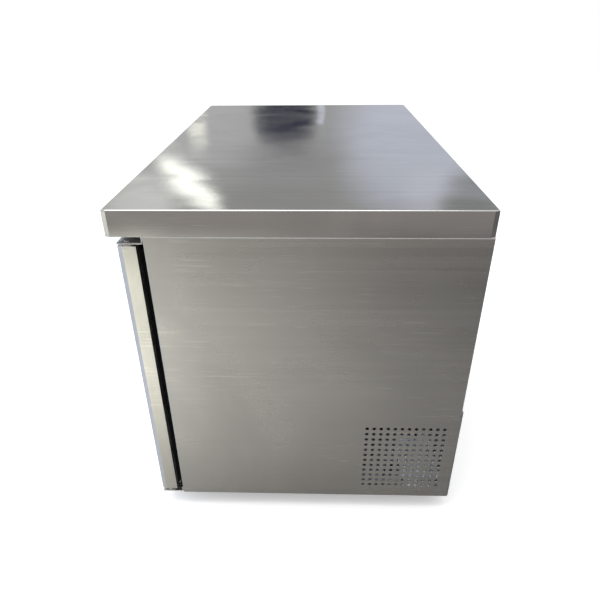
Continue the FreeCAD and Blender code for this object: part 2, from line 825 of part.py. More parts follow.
def field(side, inset):
    """The raised field of a door's inner face, inside the gasket."""
    ring = gasket_ring(side, gasket_wide)[1]
    (x0, z0), (x1, z1) = ring[0], ring[2]
    shift = dyke_margin + inset
    return (x0 + shift, x1 - shift), (z0 + shift, z1 - shift)


def pull_span(side, grow):
    """X and Z spans of the pull's cup, grown by a margin."""
    near = door_centre_gap / 2 + pull_inset + pull_rim
    x = sided(side, near - grow, near + pull_wide + grow)
    top_z = door_high - pull_drop - pull_rim
    return x, (top_z - pull_tall - grow, top_z + grow)


def make_door(side, name):
    pin = (side * pin_x, pin_y)
    z = (door_low, door_high)
    inner_z = (door_low + skin_gauge, door_high - skin_gauge)
    cup_x, cup_z = pull_span(side, as_size(0))

    skin = prism("XY", z, [door_plan(side, as_size(0), door_back)])
    pocket(skin, "XY", inner_z, [door_plan(side, skin_gauge, door_back)])
    pocket(skin, "XY", (z[0], inner_z[0]), [], [(*pin, bush_radius)])
    pocket(skin, "XY", (inner_z[1], z[1]), [], [(*pin, bush_radius)])
    pocket(skin, "XZ", (door_front, door_front + skin_gauge), [rectangle(cup_x, cup_z)])
    piece(f"{name}_door_skin", skin)

    liner = new_body()
    x = sided(side, door_centre_gap / 2 + skin_gauge, half - door_end_gap - skin_gauge)
    pad(liner, "XZ", (door_back - skin_gauge, door_back), [rectangle(x, inner_z)])
    field_x, field_z = field(side, as_size(0))
    pad(liner, "XZ", (door_back, door_back + dyke_tall), [rectangle(field_x, field_z)])
    hollow_x, hollow_z = field(side, skin_gauge)
    hollow = (door_back - skin_gauge, door_back + dyke_tall - skin_gauge)
    pocket(liner, "XZ", hollow, [rectangle(hollow_x, hollow_z)])
    piece(f"{name}_door_liner", liner)

    foam_front = door_front + skin_gauge
    foam = prism("XY", inner_z, [door_plan(side, skin_gauge, door_back - skin_gauge)])
    reach = bush_tall - bush_flange
    pocket(foam, "XY", (inner_z[0], z[0] + reach), [], [(*pin, bush_radius)])
    pocket(foam, "XY", (z[1] - reach, inner_z[1]), [], [(*pin, bush_radius)])
    pocket(foam, "XZ", (foam_front, door_front + pull_deep), [rectangle(cup_x, cup_z)])
    pad(foam, "XZ", hollow, [rectangle(hollow_x, hollow_z)])
    piece(f"{name}_door_insulation", foam)

    gasket = new_body()
    foot_y1 = door_back + gasket_base
    head_y0 = cabinet_front - seal_gap - gasket_head
    pad(gasket, "XZ", (door_back, foot_y1), gasket_ring(side, gasket_wide))
    pad(gasket, "XZ", (foot_y1, head_y0), gasket_ring(side, gasket_neck_wide))
    pad(gasket, "XZ", (head_y0, cabinet_front - seal_gap), gasket_ring(side, gasket_head_wide))
    piece(f"{name}_door_gasket", gasket)

    bore = pin_radius + running_gap
    bushes = []
    for barrel, flange, through in (
        ((z[1] - reach, z[1]), (z[1], z[1] + bush_flange), (z[1] - reach, z[1] + bush_flange)),
        ((z[0], z[0] + reach), (z[0] - bush_flange, z[0]), (z[0] - bush_flange, z[0] + reach)),
    ):
        shell = fuse(rod("Z", pin, bush_radius, barrel), rod("Z", pin, bush_flange_radius, flange))
        bushes.append(cut(shell, rod("Z", pin, bore, through)))
    piece(f"{name}_door_bushes", together(*bushes))

    rim_x, rim_z = pull_span(side, pull_rim)
    in_x, in_z = pull_span(side, -pull_wall)
    pull = new_body()
    pad(pull, "XZ", (door_front - pull_proud, door_front), [rectangle(rim_x, rim_z)])
    pad(pull, "XZ", (door_front, door_front + pull_deep), [rectangle(cup_x, cup_z)])
    depth = (door_front - pull_proud, door_front + pull_deep - pull_wall)
    pocket(pull, "XZ", depth, [rectangle(in_x, in_z)])
    piece(f"{name}_door_pull", pull)


# ---------------------------------------------------------------- feet

def make_feet():
    sockets = []
    for across, s in (("left", -1), ("right", 1)):
        for depth in ("front", "rear"):
            at = (s * (half - foot_inset), foot_y[depth])
            nut = doc.addObject("Part::Prism", "Nut")
            nut.Polygon = 6
            bind(nut, "Circumradius", stem_radius * 1.9)
            bind(nut, "Height", stem_radius * 1.2)
            put(nut, at[0], at[1], low - stem_radius * 1.2 - snug)
            foot = fuse(
                cone("Z", at, (foot_pad_radius, foot_pad_radius * 0.8), (as_size(0), foot_pad_tall)),
                cone("Z", at, (foot_pad_radius * 0.8, stem_radius), (foot_pad_tall, foot_pad_tall * 1.6)),
                rod("Z", at, stem_radius, (foot_pad_tall, low + base_gauge + stem_reach)),
                nut,
            )
            piece(f"{depth}_{across}_levelling_foot", foot)
            floor = low + base_gauge
            sockets.append(cut(
                rod("Z", at, socket_radius, (floor, floor + socket_tall + socket_cap)),
                rod("Z", at, stem_radius + running_gap, (floor, floor + socket_tall)),
            ))
    piece("foot_sockets", together(*sockets))


# ---------------------------------------------------------------- shelves and their supports

def strip(plane, span, middle, z):
    """A slotted strip for shelf clips: the plane it lies in, its thickness span, middle and height."""
    body = new_body()
    pad(body, plane, span, [rectangle((middle - strip_wide / 2, middle + strip_wide / 2), z)])
    rise = z[0] + strip_slot_pitch / 2
    slot = rectangle(
        (middle - strip_wide / 4, middle + strip_wide / 4), (rise, rise + strip_slot_pitch / 5)
    )
    hole = pocket(body, plane, span, [slot])
    count = int((z[1].value - z[0].value) / strip_slot_pitch.value)
    grid(body, hole, as_size(1), as_size(1), as_size(count), strip_slot_pitch)
    return body


strip_front_y = mouth + front_strip
strip_rear_y = mouth + rear_strip
low_strip_z = (cavity_low + strip_margin, cavity_high - strip_margin)
high_strip_z = (step_top + strip_margin, cavity_high - strip_margin)
cover_z = (step_top + liner_gauge + evaporator_gap, cavity_high - liner_gauge - evaporator_gap)


def make_strips():
    """One strip behind the mullion, one on the evaporator cover and two on each end wall."""
    mullion_back = mouth + mullion_deep
    wall = cavity_half - liner_gauge
    middle = as_size(0)
    strips = [
        strip("XZ", (mullion_back, mullion_back + strip_thick), middle, low_strip_z),
        strip("XZ", (cover_front - strip_thick, cover_front), middle, cover_z),
    ]
    for side in (1, -1):
        span = sided(side, wall - strip_thick, wall)
        strips.append(strip("YZ", span, strip_front_y, low_strip_z))
        strips.append(strip("YZ", span, strip_rear_y, high_strip_z))
    piece("shelf_pilasters", together(*strips))


def clip(x, y):
    """A stainless clip hooked on a strip, the ledge that a shelf's corner rests on."""
    z = (shelf_z - clip_tall - snug, shelf_z - snug)
    return box(x, y, z)


def make_clips():
    clips = []
    wall = cavity_half - liner_gauge - strip_thick
    for side in (1, -1):
        for y in (strip_front_y, strip_rear_y):
            x = sided(side, wall - clip_reach, wall)
            clips.append(clip(x, (y - clip_wide / 2, y + clip_wide / 2)))
        near = sided(side, as_size(1), clip_wide)
        behind_mullion = mouth + mullion_deep + strip_thick
        clips.append(clip(near, (behind_mullion, behind_mullion + clip_reach)))
        ahead_of_cover = cover_front - strip_thick
        clips.append(clip(near, (ahead_of_cover - clip_reach, ahead_of_cover)))
    piece("shelf_clips", together(*clips))


def make_shelf(side, label):
    """Wire shelf: a rod frame, two cross rods and a row of wires welded on top."""
    x = sided(side, shelf_clear * 0.8, cavity_half - liner_gauge - shelf_clear)
    y = (mouth + mullion_deep + strip_thick + 2, cover_front - strip_thick - 2)
    rod_z = shelf_z + shelf_rod
    wire_z = rod_z + shelf_rod + shelf_wire - 0.5
    x0, x1, y0, y1 = x[0] + shelf_rod, x[1] - shelf_rod, y[0] + shelf_rod, y[1] - shelf_rod
    rods = [rod("X", (yy, rod_z), shelf_rod, x) for yy in (y0, (y0 * 2 + y1) / 3, (y0 + y1 * 2) / 3, y1)]
    rods += [rod("Y", (xx, rod_z), shelf_rod, y) for xx in (x0, x1)]
    count = int(shelf_wires.value)
    pitch = (x1 - x0) / (count + 1)
    wires = [rod("Y", (x0 + pitch * (i + 1), wire_z), shelf_wire, y) for i in range(count)]
    piece(label, fuse(*rods, *wires))


# ---------------------------------------------------------------- evaporator and thermostat

fan_z = (cover_z[0] + cover_z[1]) / 2
cold_y = cavity_back - liner_gauge - 8 - cold_fin_deep
tube_end = as_size(8)                            # tubes past the outermost fins
rows = int(tube_rows.value)
cold_columns = [cold_y + cold_fin_deep * share for share in (0.27, 0.73)]
cold_levels = [fan_z + cold_fin_tall * ((i + 0.5) / rows - 0.5) for i in range(rows)]
knob_z = cover_z[0] + 80
knob_x = -evaporator_wide / 4


def make_evaporator_cover():
    """Sheet housing on the back wall: fan opening at one side, return louvres at the other."""
    body = new_body()
    x = evaporator_wide / 2
    y = (cover_front, cavity_back - liner_gauge)
    pad(body, "XZ", y, [rectangle((-x, x), cover_z)])
    inner_z = (cover_z[0] + cover_gauge, cover_z[1] - cover_gauge)
    inner = rectangle((-x + cover_gauge, x - cover_gauge), inner_z)
    pocket(body, "XZ", (y[0] + cover_gauge, y[1]), [inner])
    pocket(body, "XZ", (y[0], y[0] + cover_gauge), [], [
        (fan_offset, fan_z, cold_fan_radius + fan_clearance),
        (knob_x, knob_z, shaft_radius + snug),
    ])
    pocket(body, "XY", (cover_z[0], cover_z[0] + cover_gauge), [], [
        (chase_x, chase_y, chase_radius),
        (drain_x, chase_y, drain_radius + snug / 2),
    ])
    louvre_z = knob_z + 50
    slot = rectangle((-x + 30, -40), (louvre_z, louvre_z + 7))
    opening = pocket(body, "XZ", (y[0], y[0] + cover_gauge), [slot])
    grid(body, opening, as_size(1), as_size(0.5), as_size(7), as_size(16))
    piece("evaporator_cover", body)


def fan_rotor(axis, centre, radius, hub, span, shaft):
    """Hub with five pitched blades and its shaft."""
    middle = (span[0] + span[1]) / 2
    blades = []
    for i in range(5):
        blade = doc.addObject("Part::Box", "Blade")
        bind(blade, "Length", radius - hub * 0.7)
        bind(blade, "Width", radius * 0.62)
        bind(blade, "Height", 1.6)
        pitch = FreeCAD.Rotation(Vector(1, 0, 0), 26)
        seat = FreeCAD.Placement(Vector(hub.value * 0.7, -radius.value * 0.31, -0.8), FreeCAD.Rotation())
        swept = FreeCAD.Placement(Vector(), FreeCAD.Rotation(Vector(0, 0, 1), 72 * i))
        start = Vector(*[c.value for c in along(axis, centre, (middle, middle))])
        set_place = FreeCAD.Placement(start, TURNS[axis])
        blade.Placement = set_place * swept * FreeCAD.Placement(Vector(), pitch) * seat
        blades.append(blade)
    rim = cut(
        rod(axis, centre, radius * 1.6, (middle - radius, middle + radius)),
        rod(axis, centre, radius, (middle - radius, middle + radius)),
    )
    return cut(fuse(rod(axis, centre, hub, span), rod(axis, centre, shaft_radius, shaft), *blades), rim)


def make_evaporator():
    """Fin pack, its tubes, and the fan that draws through it."""
    x = evaporator_wide / 2 - evaporator_end
    y0 = cold_y
    fin_z = (fan_z - cold_fin_tall / 2, fan_z + cold_fin_tall / 2)
    count = int(cold_fins.value)
    pitch = (2 * x - fin_thick) / (count - 1)
    columns, levels = cold_columns, cold_levels
    holes = [(yy, zz, tube_radius + snug / 2) for yy in columns for zz in levels]
    outline = rectangle((y0, y0 + cold_fin_deep), fin_z)
    fins = [
        prism("YZ", (-x + pitch * i, -x + pitch * i + fin_thick), [outline], holes) for i in range(count)
    ]
    piece("evaporator_fins", together(*fins))
    tubes = serpentine("X", columns, levels, (-x - tube_end, x + tube_end), 1, len(levels) - 1)
    piece("evaporator_tubes", tubes)

    rotor_y = (cover_front + 6, cover_front + 30)
    shaft_y = (rotor_y[1], rotor_y[1] + 14)
    at = (fan_offset, fan_z)
    piece("evaporator_fan_rotor", fan_rotor("Y", at, cold_fan_radius, as_size(20), rotor_y, shaft_y))
    motor_y = (rotor_y[1] + 3, y0 - 2)
    arm = (motor_y[0], motor_y[0] + 2)
    motor = fuse(
        rod("Y", at, as_size(20), motor_y),
        box((at[0] - 7, at[0] + 7), arm, (cover_z[0] + cover_gauge, cover_z[1] - cover_gauge)),
    )
    bearing = rod("Y", at, shaft_radius + running_gap, (motor_y[0], shaft_y[1] + 1))
    piece("evaporator_fan_motor", cut(motor, bearing))


def half_ring(axis, end, place, centre, gap, across):
    """A return bend over a gap, bulging outwards at the low (0) or high (1) end of an axis."""
    ring = doc.addObject("Part::Torus", "Bend")
    bind(ring, "Radius1", gap / 2)
    bind(ring, "Radius2", tube_radius)
    ring.Angle3 = 180
    away = {"X": Vector(1, 0, 0), "Y": Vector(0, 1, 0)}[axis] * (1 if end else -1)
    ring.Placement.Rotation = FreeCAD.Rotation(across, away, across.cross(away), "XYZ")
    return put(ring, *along(axis, centre, (place, place)))


def serpentine(axis, columns, levels, span, port, link_row):
    """Straight tubes and their return bends. Both ports open at the same end of the span.

    Each column goes up and down as one run; the link joins the columns at one row.
    """
    flat = {"X": Vector(0, 1, 0), "Y": Vector(1, 0, 0)}[axis]
    shapes = []
    for column in columns:
        for i, level in enumerate(levels):
            shapes.append(rod(axis, (column, level), tube_radius, span))
            if i + 1 < len(levels):
                end = port if i % 2 else 1 - port
                middle = (level + levels[i + 1]) / 2
                gap = levels[i + 1] - level
                shapes.append(half_ring(axis, end, span[end], (column, middle), gap, Vector(0, 0, 1)))
    centre = ((columns[0] + columns[1]) / 2, levels[link_row])
    shapes.append(half_ring(axis, port, span[port], centre, columns[1] - columns[0], flat))
    return fuse(*shapes)


def make_thermostat():
    at = (knob_x, knob_z)
    face = cover_front + cover_gauge
    body_y = (face, face + 22)
    body = box((at[0] - 18, at[0] + 18), body_y, (at[1] - 14, at[1] + 26))
    piece("thermostat_body", cut(body, rod("Y", at, shaft_radius + running_gap, (face, face + 13))))
    knob_y = (cover_front - 0.5 - knob_tall, cover_front - 0.5)
    grip_z = (at[1] - knob_radius * 0.86, at[1] + knob_radius * 0.86)
    grip = box((at[0] - 4, at[0] + 4), (knob_y[0] - 5, knob_y[0]), grip_z)
    knob = fuse(
        rod("Y", at, knob_radius, (knob_y[0] + 5, knob_y[1])),
        cone("Y", at, (knob_radius * 0.84, knob_radius * 0.94), (knob_y[0], knob_y[0] + 5)),
        grip,
        rod("Y", at, shaft_radius, (knob_y[1], face + 12)),
    )
    piece("thermostat_knob", knob)


# ---------------------------------------------------------------- condensing unit

bay_floor = low + base_gauge
coil_x = (half - skin_gauge - condenser_gap - condenser_thick, half - skin_gauge - condenser_gap)
coil_y = (back - condenser_edge - condenser_wide, back - condenser_edge)
coil_z = (low + condenser_lift, low + condenser_lift + condenser_tall)
hot_fan_at = ((coil_y[0] + coil_y[1]) / 2, (coil_z[0] + coil_z[1]) / 2)
shroud_x = (coil_x[0] - shroud_deep, coil_x[0])
hot_columns = [coil_x[0] + condenser_thick * share for share in (0.27, 0.73)]
hot_levels = [coil_z[0] + condenser_tall * ((i + 0.5) / rows) for i in range(rows)]
hot_ports_y = coil_y[0] - 2


def make_condenser():
    """Finned coil behind the end panel's vent, with its shroud, fan and motor."""
    count = int(hot_fins.value)
    pitch = (condenser_wide - fin_thick) / (count - 1)
    holes = [(xx, zz, tube_radius + snug / 2) for xx in hot_columns for zz in hot_levels]
    outline = rectangle(coil_x, coil_z)
    fins = []
    for i in range(count):
        y = coil_y[0] + pitch * i
        fins.append(prism("XZ", (y, y + fin_thick), [outline], holes))
    piece("condenser_fins", together(*fins))
    piece("condenser_tubes", serpentine("Y", hot_columns, hot_levels, (hot_ports_y, coil_y[1] + 2), 0, 0))

    plate = skin_gauge
    y, z = (coil_y[0] + 3, coil_y[1] - 3), coil_z
    shroud = new_body()
    opening = [(*hot_fan_at, hot_fan_radius + fan_clearance)]
    pad(shroud, "YZ", (shroud_x[0], shroud_x[0] + plate), [rectangle(y, z)], opening)
    inner = rectangle((y[0] + plate, y[1] - plate), (z[0] + plate, z[1] - plate))
    pad(shroud, "YZ", (shroud_x[0] + plate, shroud_x[1]), [rectangle(y, z), inner])
    for foot_side in (y[0], y[1] - plate):
        pad(shroud, "YZ", shroud_x, [rectangle((foot_side, foot_side + plate), (bay_floor, z[0]))])
    piece("condenser_shroud", shroud)

    rotor_x = (shroud_x[0] - 8, shroud_x[0] + 12)
    shaft_x = (rotor_x[0] - 14, rotor_x[0])
    piece("condenser_fan_rotor", fan_rotor("X", hot_fan_at, hot_fan_radius, as_size(16), rotor_x, shaft_x))
    motor_x = (rotor_x[0] - 3 - 46, rotor_x[0] - 3)
    can = rod("X", hot_fan_at, as_size(25), motor_x)
    arm_x = (motor_x[1] - 2, motor_x[1])
    arm_y = (hot_fan_at[0] - 8, hot_fan_at[0] + 8)
    arm = box(arm_x, arm_y, (z[0] + 2, z[1] - 2))
    posts = [
        box((motor_x[1] - 2, shroud_x[0]), arm_y, span)
        for span in ((z[0] + 2, z[0] + 4), (z[1] - 4, z[1] - 2))
    ]
    bearing = rod("X", hot_fan_at, shaft_radius + running_gap, (shaft_x[0] - 1, motor_x[1]))
    piece("condenser_fan_motor", cut(fuse(can, arm, *posts), bearing))


bay_mid_y = (bay_front + skin_gauge + back) / 2
shell_z = (bay_floor + grommet_tall + 3, bay_floor + grommet_tall + 3 + 145)
seam = (shell_z[0] + shell_z[1]) / 2
stub_top = seam + 76
discharge_stub = (compressor_x + 50, bay_mid_y - 20)
suction_stub = (compressor_x + 46, bay_mid_y + 28)
drier_x = (compressor_x + 130, compressor_x + 190)
drier_at = (bay_front + 40, bay_floor + 60)
drier_neck = as_size(14)


def make_compressor():
    """Welded steel can on a foot plate, which stands on four rubber mounts."""
    at = (compressor_x, bay_mid_y)
    dome = 36
    barrel = (shell_z[0] + dome, shell_z[1] - dome)
    parts = [rod("Z", at, compressor_radius, barrel)]
    for level in barrel:
        cap = doc.addObject("Part::Ellipsoid", "Dome")
        bind(cap, "Radius1", dome)
        bind(cap, "Radius2", compressor_radius)
        bind(cap, "Radius3", compressor_radius)
        parts.append(put(cap, at[0], at[1], level))
    parts.append(rod("Z", at, compressor_radius + 3, (seam - 3, seam + 3)))
    plate_z = (bay_floor + grommet_tall, bay_floor + grommet_tall + 3)
    feet = [(at[0] + sx * 82, at[1] + sy * 60) for sx in (-1, 1) for sy in (-1, 1)]
    plate = prism(
        "XY", plate_z,
        [rectangle((at[0] - 98, at[0] + 98), (at[1] - 74, at[1] + 74))],
        [(*f, as_size(8)) for f in feet],
    )
    parts.append(plate)
    parts.append(rod("Z", at, as_size(34), (plate_z[0], plate_z[1] + 12)))
    for stub in (discharge_stub, suction_stub):
        parts.append(rod("Z", stub, pipe_radius, (seam + 10, stub_top)))
    piece("compressor", fuse(*parts))
    mounts = []
    for f in feet:
        mounts.append(fuse(
            rod("Z", f, as_size(13), (bay_floor, plate_z[0])),
            rod("Z", f, as_size(8) - snug, (plate_z[0], plate_z[1])),
            rod("Z", f, as_size(12), (plate_z[1], plate_z[1] + 4)),
        ))
    piece("compressor_mounts", together(*mounts))
    hood = box(
        (at[0] - compressor_radius - 22, at[0] - compressor_radius + 25),
        (at[1] - 32, at[1] + 32), (seam - 38, seam + 34),
    )
    keep_out = rod("Z", at, compressor_radius + 3 + snug, (seam - 60, seam + 60))
    piece("compressor_terminal_cover", cut(hood, keep_out))


def make_pipes():
    """Copper pipes of the refrigerant circuit: to the coil, to the drier, to the evaporator and back."""
    last = hot_levels[-1]
    header_y = coil_y[0] - 30
    run_z = stub_top + 14
    pipe("discharge_pipe", [
        (*discharge_stub, stub_top), (*discharge_stub, run_z),
        (compressor_x + 110, header_y, run_z), (compressor_x + 110, header_y, last - 40),
        (hot_columns[1], header_y, last - 40), (hot_columns[1], header_y, last),
        (hot_columns[1], hot_ports_y, last),
    ], pipe_radius, 9)

    # suction pipe in its foil-faced sleeve
    ports_x = evaporator_wide / 2 - evaporator_end + tube_end
    upper = low + bay_tall - skin_gauge - 28
    pipe("suction_pipe", [
        (ports_x, cold_columns[0], cold_levels[0]), (chase_x, cold_columns[0], cold_levels[0]),
        (chase_x, cold_columns[0], upper), (*suction_stub, upper), (*suction_stub, stub_top),
    ], foil_radius, 14)

    y, z = drier_at
    to_drier = pipe_feature([
        (hot_columns[0], hot_ports_y, last), (hot_columns[0], y, last),
        (hot_columns[0], y, z), (drier_x[1] + drier_neck, y, z),
    ], pipe_radius, 9)
    rise_x = drier_x[0] - drier_neck - 21
    to_evaporator = pipe_feature([
        (drier_x[0] - drier_neck, y, z), (rise_x, y, z), (rise_x, y, run_z + 16),
        (chase_x, chase_y + 12, run_z + 16), (chase_x, chase_y + 12, cold_levels[0] - 26),
        (chase_x - 4, cold_columns[1], cold_levels[0]), (ports_x, cold_columns[1], cold_levels[0]),
    ], capillary_radius, 5)
    piece("liquid_pipes", together(to_drier, to_evaporator))


def make_drier():
    """Copper cartridge in the liquid line."""
    shell = rod("X", drier_at, drier_radius, drier_x)
    inlet = cone("X", drier_at, (drier_radius, pipe_radius), (drier_x[1], drier_x[1] + drier_neck))
    outlet = cone("X", drier_at, (pipe_radius, drier_radius), (drier_x[0] - drier_neck, drier_x[0]))
    piece("filter_drier", fuse(shell, inlet, outlet))


def make_drain():
    """Bright pan for the defrost water beside the vent, and the hose that leads down to it."""
    x = (half - skin_gauge - pan_gap - pan_long, half - skin_gauge - pan_gap)
    y = (back - pan_edge - pan_wide, back - pan_edge)
    z = (bay_floor, bay_floor + pan_tall)
    pan = prism("XY", z, [rectangle(x, y)])
    inner = rectangle((x[0] + pan_gauge, x[1] - pan_gauge), (y[0] + pan_gauge, y[1] - pan_gauge))
    pocket(pan, "XY", (z[0] + pan_gauge, z[1]), [inner])
    for edge in ((y[0] - pan_rim, y[0]), (y[1], y[1] + pan_rim)):
        pad(pan, "XY", (z[1] - pan_gauge, z[1]), [rectangle(x, edge)])
    piece("condensate_pan", pan)

    over_x, over_y = x[0] + 26, (y[0] + y[1]) / 2
    behind = back - 32
    upper = low + bay_tall - skin_gauge - 28
    route = [
        (drain_x, chase_y, cover_z[0] + cover_gauge + 1), (drain_x, chase_y, upper),
        (drain_x, behind, upper), (over_x, behind, upper - 9),
        (over_x, over_y, upper - 16), (over_x, over_y, z[1] + 14),
    ]
    hose = pipe_feature(route, drain_radius, 14)
    bore = pipe_feature(route, drain_radius - 2, 14)
    piece("drain_hose", cut(hose, bore))


def make_cord_grommet():
    """Rubber bush in the rear cover that the supply cord passes through."""
    at = (grommet_x, low + grommet_up)
    seat = cord_radius + 4
    faces = (rear - skin_gauge - 2, rear + screw_head)
    ring = fuse(
        rod("Y", at, seat, (rear - skin_gauge, rear)),
        rod("Y", at, seat + 3, (faces[0], rear - skin_gauge)),
        rod("Y", at, seat + 3, (rear, faces[1])),
    )
    piece("cord_grommet", cut(ring, rod("Y", at, cord_radius, faces)))


# ---------------------------------------------------------------- build

make_worktop()
make_end_panel(1, "right_end_panel")
make_end_panel(-1, "left_end_panel")
make_base_panel()
make_bay_bulkhead()
make_back_panel()
make_rear_cover()
make_cover_screws()
make_insulation()
make_liner()
make_face_frame()
make_mullion()
make_brackets()
make_hinge_pins()
make_hinge_screws()
make_door(1, "right")
make_door(-1, "left")
make_feet()
make_strips()
make_clips()
make_shelf(1, "right_shelf")
make_shelf(-1, "left_shelf")
make_evaporator_cover()
make_evaporator()
make_thermostat()
make_condenser()
make_compressor()
make_pipes()
make_drier()
make_drain()
make_cord_grommet()
doc.recompute()

for thing in doc.Objects:
    if "Invalid" in thing.State or "Error" in thing.State:
        raise SystemExit(f"{thing.Name} ({thing.Label}) failed: {thing.State}")
for feature, base in pockets:
    if base is None or feature.Shape.Volume > base.Shape.Volume - 1e-3:
        raise SystemExit(f"{feature.Name} of {feature.getParentGeoFeatureGroup().Label} cuts nothing")

os.makedirs("parts", exist_ok=True)
for node in nodes:
    shape = node.Shape
    if shape.isNull() or not shape.isValid() or not shape.Solids:
        raise SystemExit(f"{node.Label} has no valid solid")
    shape.exportStep(f"parts/{node.Label}.step")
print(len(nodes), "sub-parts")
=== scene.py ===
import math

import bmesh
import bpy
from mathutils import Matrix, Vector


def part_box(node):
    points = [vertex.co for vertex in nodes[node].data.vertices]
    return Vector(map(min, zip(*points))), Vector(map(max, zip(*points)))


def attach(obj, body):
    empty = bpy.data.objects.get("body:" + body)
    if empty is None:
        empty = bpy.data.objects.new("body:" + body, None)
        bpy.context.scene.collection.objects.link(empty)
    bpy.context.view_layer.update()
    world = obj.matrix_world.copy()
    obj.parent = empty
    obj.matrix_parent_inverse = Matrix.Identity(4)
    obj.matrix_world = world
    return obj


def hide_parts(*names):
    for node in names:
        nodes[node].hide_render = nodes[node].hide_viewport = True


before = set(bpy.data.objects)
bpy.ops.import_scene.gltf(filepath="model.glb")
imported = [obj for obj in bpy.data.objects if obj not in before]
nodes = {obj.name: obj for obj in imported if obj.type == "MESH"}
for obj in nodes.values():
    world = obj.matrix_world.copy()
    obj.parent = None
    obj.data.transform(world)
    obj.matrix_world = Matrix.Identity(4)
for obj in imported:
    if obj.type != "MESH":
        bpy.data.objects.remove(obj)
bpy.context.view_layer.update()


# ---- Worktop and end panels -------------------------------------------------
# The worktop is one stainless sheet folded down over a board, with bevelled and welded corners.
# The end panels are the same sheet, brushed from front to back like the top. Wiping and handling
# have left faint clouds and hairlines, and the thin sheet is never quite flat.

def add_node(tree, kind, sockets=None, **settings):
    """A shader node. sockets gives each input a value, or the output that feeds it."""
    made = tree.nodes.new("ShaderNode" + kind)
    for name, value in settings.items():
        setattr(made, name, value)
    for name, value in (sockets or {}).items():
        if isinstance(value, bpy.types.NodeSocket):
            tree.links.new(value, made.inputs[name])
        else:
            made.inputs[name].default_value = value
    return made


def arithmetic(tree, operation, *values):
    made = add_node(tree, "Math", dict(enumerate(values)), operation=operation)
    return made.outputs[0]


def ease(tree, value, low, high, to_low=0.0, to_high=1.0):
    """Carries a value smoothly from one range into another, and holds it at the ends."""
    sockets = {"Value": value, "From Min": low, "From Max": high, "To Min": to_low, "To Max": to_high}
    made = add_node(tree, "MapRange", sockets, interpolation_type="SMOOTHSTEP")
    return made.outputs[0]


def mix_colours(tree, amount, first, second):
    made = add_node(tree, "Mix", {0: amount, 6: first, 7: second}, data_type="RGBA")
    return made.outputs[2]


def shade(colour, factor=1.0):
    return tuple(channel * factor for channel in colour) + (1.0,)


def new_group(name, inputs, outputs):
    """A node group. inputs are (name, socket type, default), outputs are (name, socket type)."""
    tree = bpy.data.node_groups.new(name, "ShaderNodeTree")
    for label, kind, value in inputs:
        tree.interface.new_socket(name=label, in_out="INPUT", socket_type=kind).default_value = value
    for label, kind in outputs:
        tree.interface.new_socket(name=label, in_out="OUTPUT", socket_type=kind)
    return tree, tree.nodes.new("NodeGroupInput").outputs, tree.nodes.new("NodeGroupOutput").inputs


def place_group(tree, group, sockets):
    made = tree.nodes.new("ShaderNodeGroup")
    made.node_tree = group
    for name, value in sockets.items():
        made.inputs[name].default_value = value
    return made.outputs


def make_brushed_grain():
    """Long fine scratches from a belt, with broader bands where the belt pressed harder."""
    tree, given, result = new_group(
        "brushed_grain",
        [("Stretch", "NodeSocketVector", (1000.0, 10.0, 1000.0))],
        [("Bands", "NodeSocketFloat"), ("Height", "NodeSocketFloat")],
    )
    place = add_node(tree, "TexCoord").outputs["Object"]
    lines = add_node(tree, "VectorMath", {0: place, 1: given["Stretch"]}, operation="MULTIPLY").outputs[0]
    fine = add_node(tree, "TexNoise", {"Vector": lines, "Scale": 1.0, "Detail": 3.0, "Roughness": 0.7})
    wide = add_node(tree, "TexNoise", {"Vector": lines, "Scale": 0.06, "Detail": 2.0, "Roughness": 0.6})
    tree.links.new(wide.outputs[0], result["Bands"])
    height = arithmetic(tree, "MULTIPLY_ADD", wide.outputs[0], 0.6, fine.outputs[0])
    tree.links.new(height, result["Height"])
    return tree


def make_handling_marks():
    """Wiped clouds, thin hairline scratches and a few specks, on any surface that people touch."""
    tree, given, result = new_group(
        "handling_marks",
        [("Size", "NodeSocketFloat", 7.0)],
        [("Cloud", "NodeSocketFloat"), ("Hairline", "NodeSocketFloat"), ("Speck", "NodeSocketFloat")],
    )
    place = add_node(tree, "TexCoord").outputs["Object"]
    drift = {"Vector": place, "Scale": given["Size"], "Detail": 5.0, "Distortion": 0.7}
    cloud = add_node(tree, "TexNoise", drift)
    tree.links.new(ease(tree, cloud.outputs[0], 0.42, 0.68), result["Cloud"])
    scratches = 0.0
    for turn, width in (((0.4, 0.3, 0.9), 620.0), ((-0.5, 0.6, -0.35), 480.0)):
        sockets = {"Vector": place, "Rotation": turn, "Scale": (width, 11.0, width)}
        laid = add_node(tree, "Mapping", sockets).outputs[0]
        line = add_node(tree, "TexNoise", {"Vector": laid, "Scale": 1.0, "Detail": 0.0})
        scratches = arithmetic(tree, "ADD", scratches, ease(tree, line.outputs[0], 0.74, 0.78))
    broken = add_node(tree, "TexNoise", {"Vector": place, "Scale": 9.0, "Detail": 2.0})
    hairline = arithmetic(tree, "MULTIPLY", scratches, ease(tree, broken.outputs[0], 0.45, 0.62))
    tree.links.new(hairline, result["Hairline"])
    cells = add_node(tree, "TexVoronoi", {"Vector": place, "Scale": 38.0})
    chance = add_node(tree, "SeparateXYZ", {"Vector": cells.outputs["Color"]}).outputs[0]
    speck = arithmetic(tree, "MULTIPLY", ease(tree, cells.outputs["Distance"], 0.03, 0.07, 1.0, 0.0),
                       ease(tree, chance, 0.86, 0.9))
    tree.links.new(speck, result["Speck"])
    return tree


brushed_grain = make_brushed_grain()
handling_marks = make_handling_marks()
ALONG_DEPTH = (900.0, 9.0, 900.0)
ALONG_HEIGHT = (900.0, 900.0, 9.0)
ALONG_LENGTH = (9.0, 900.0, 900.0)


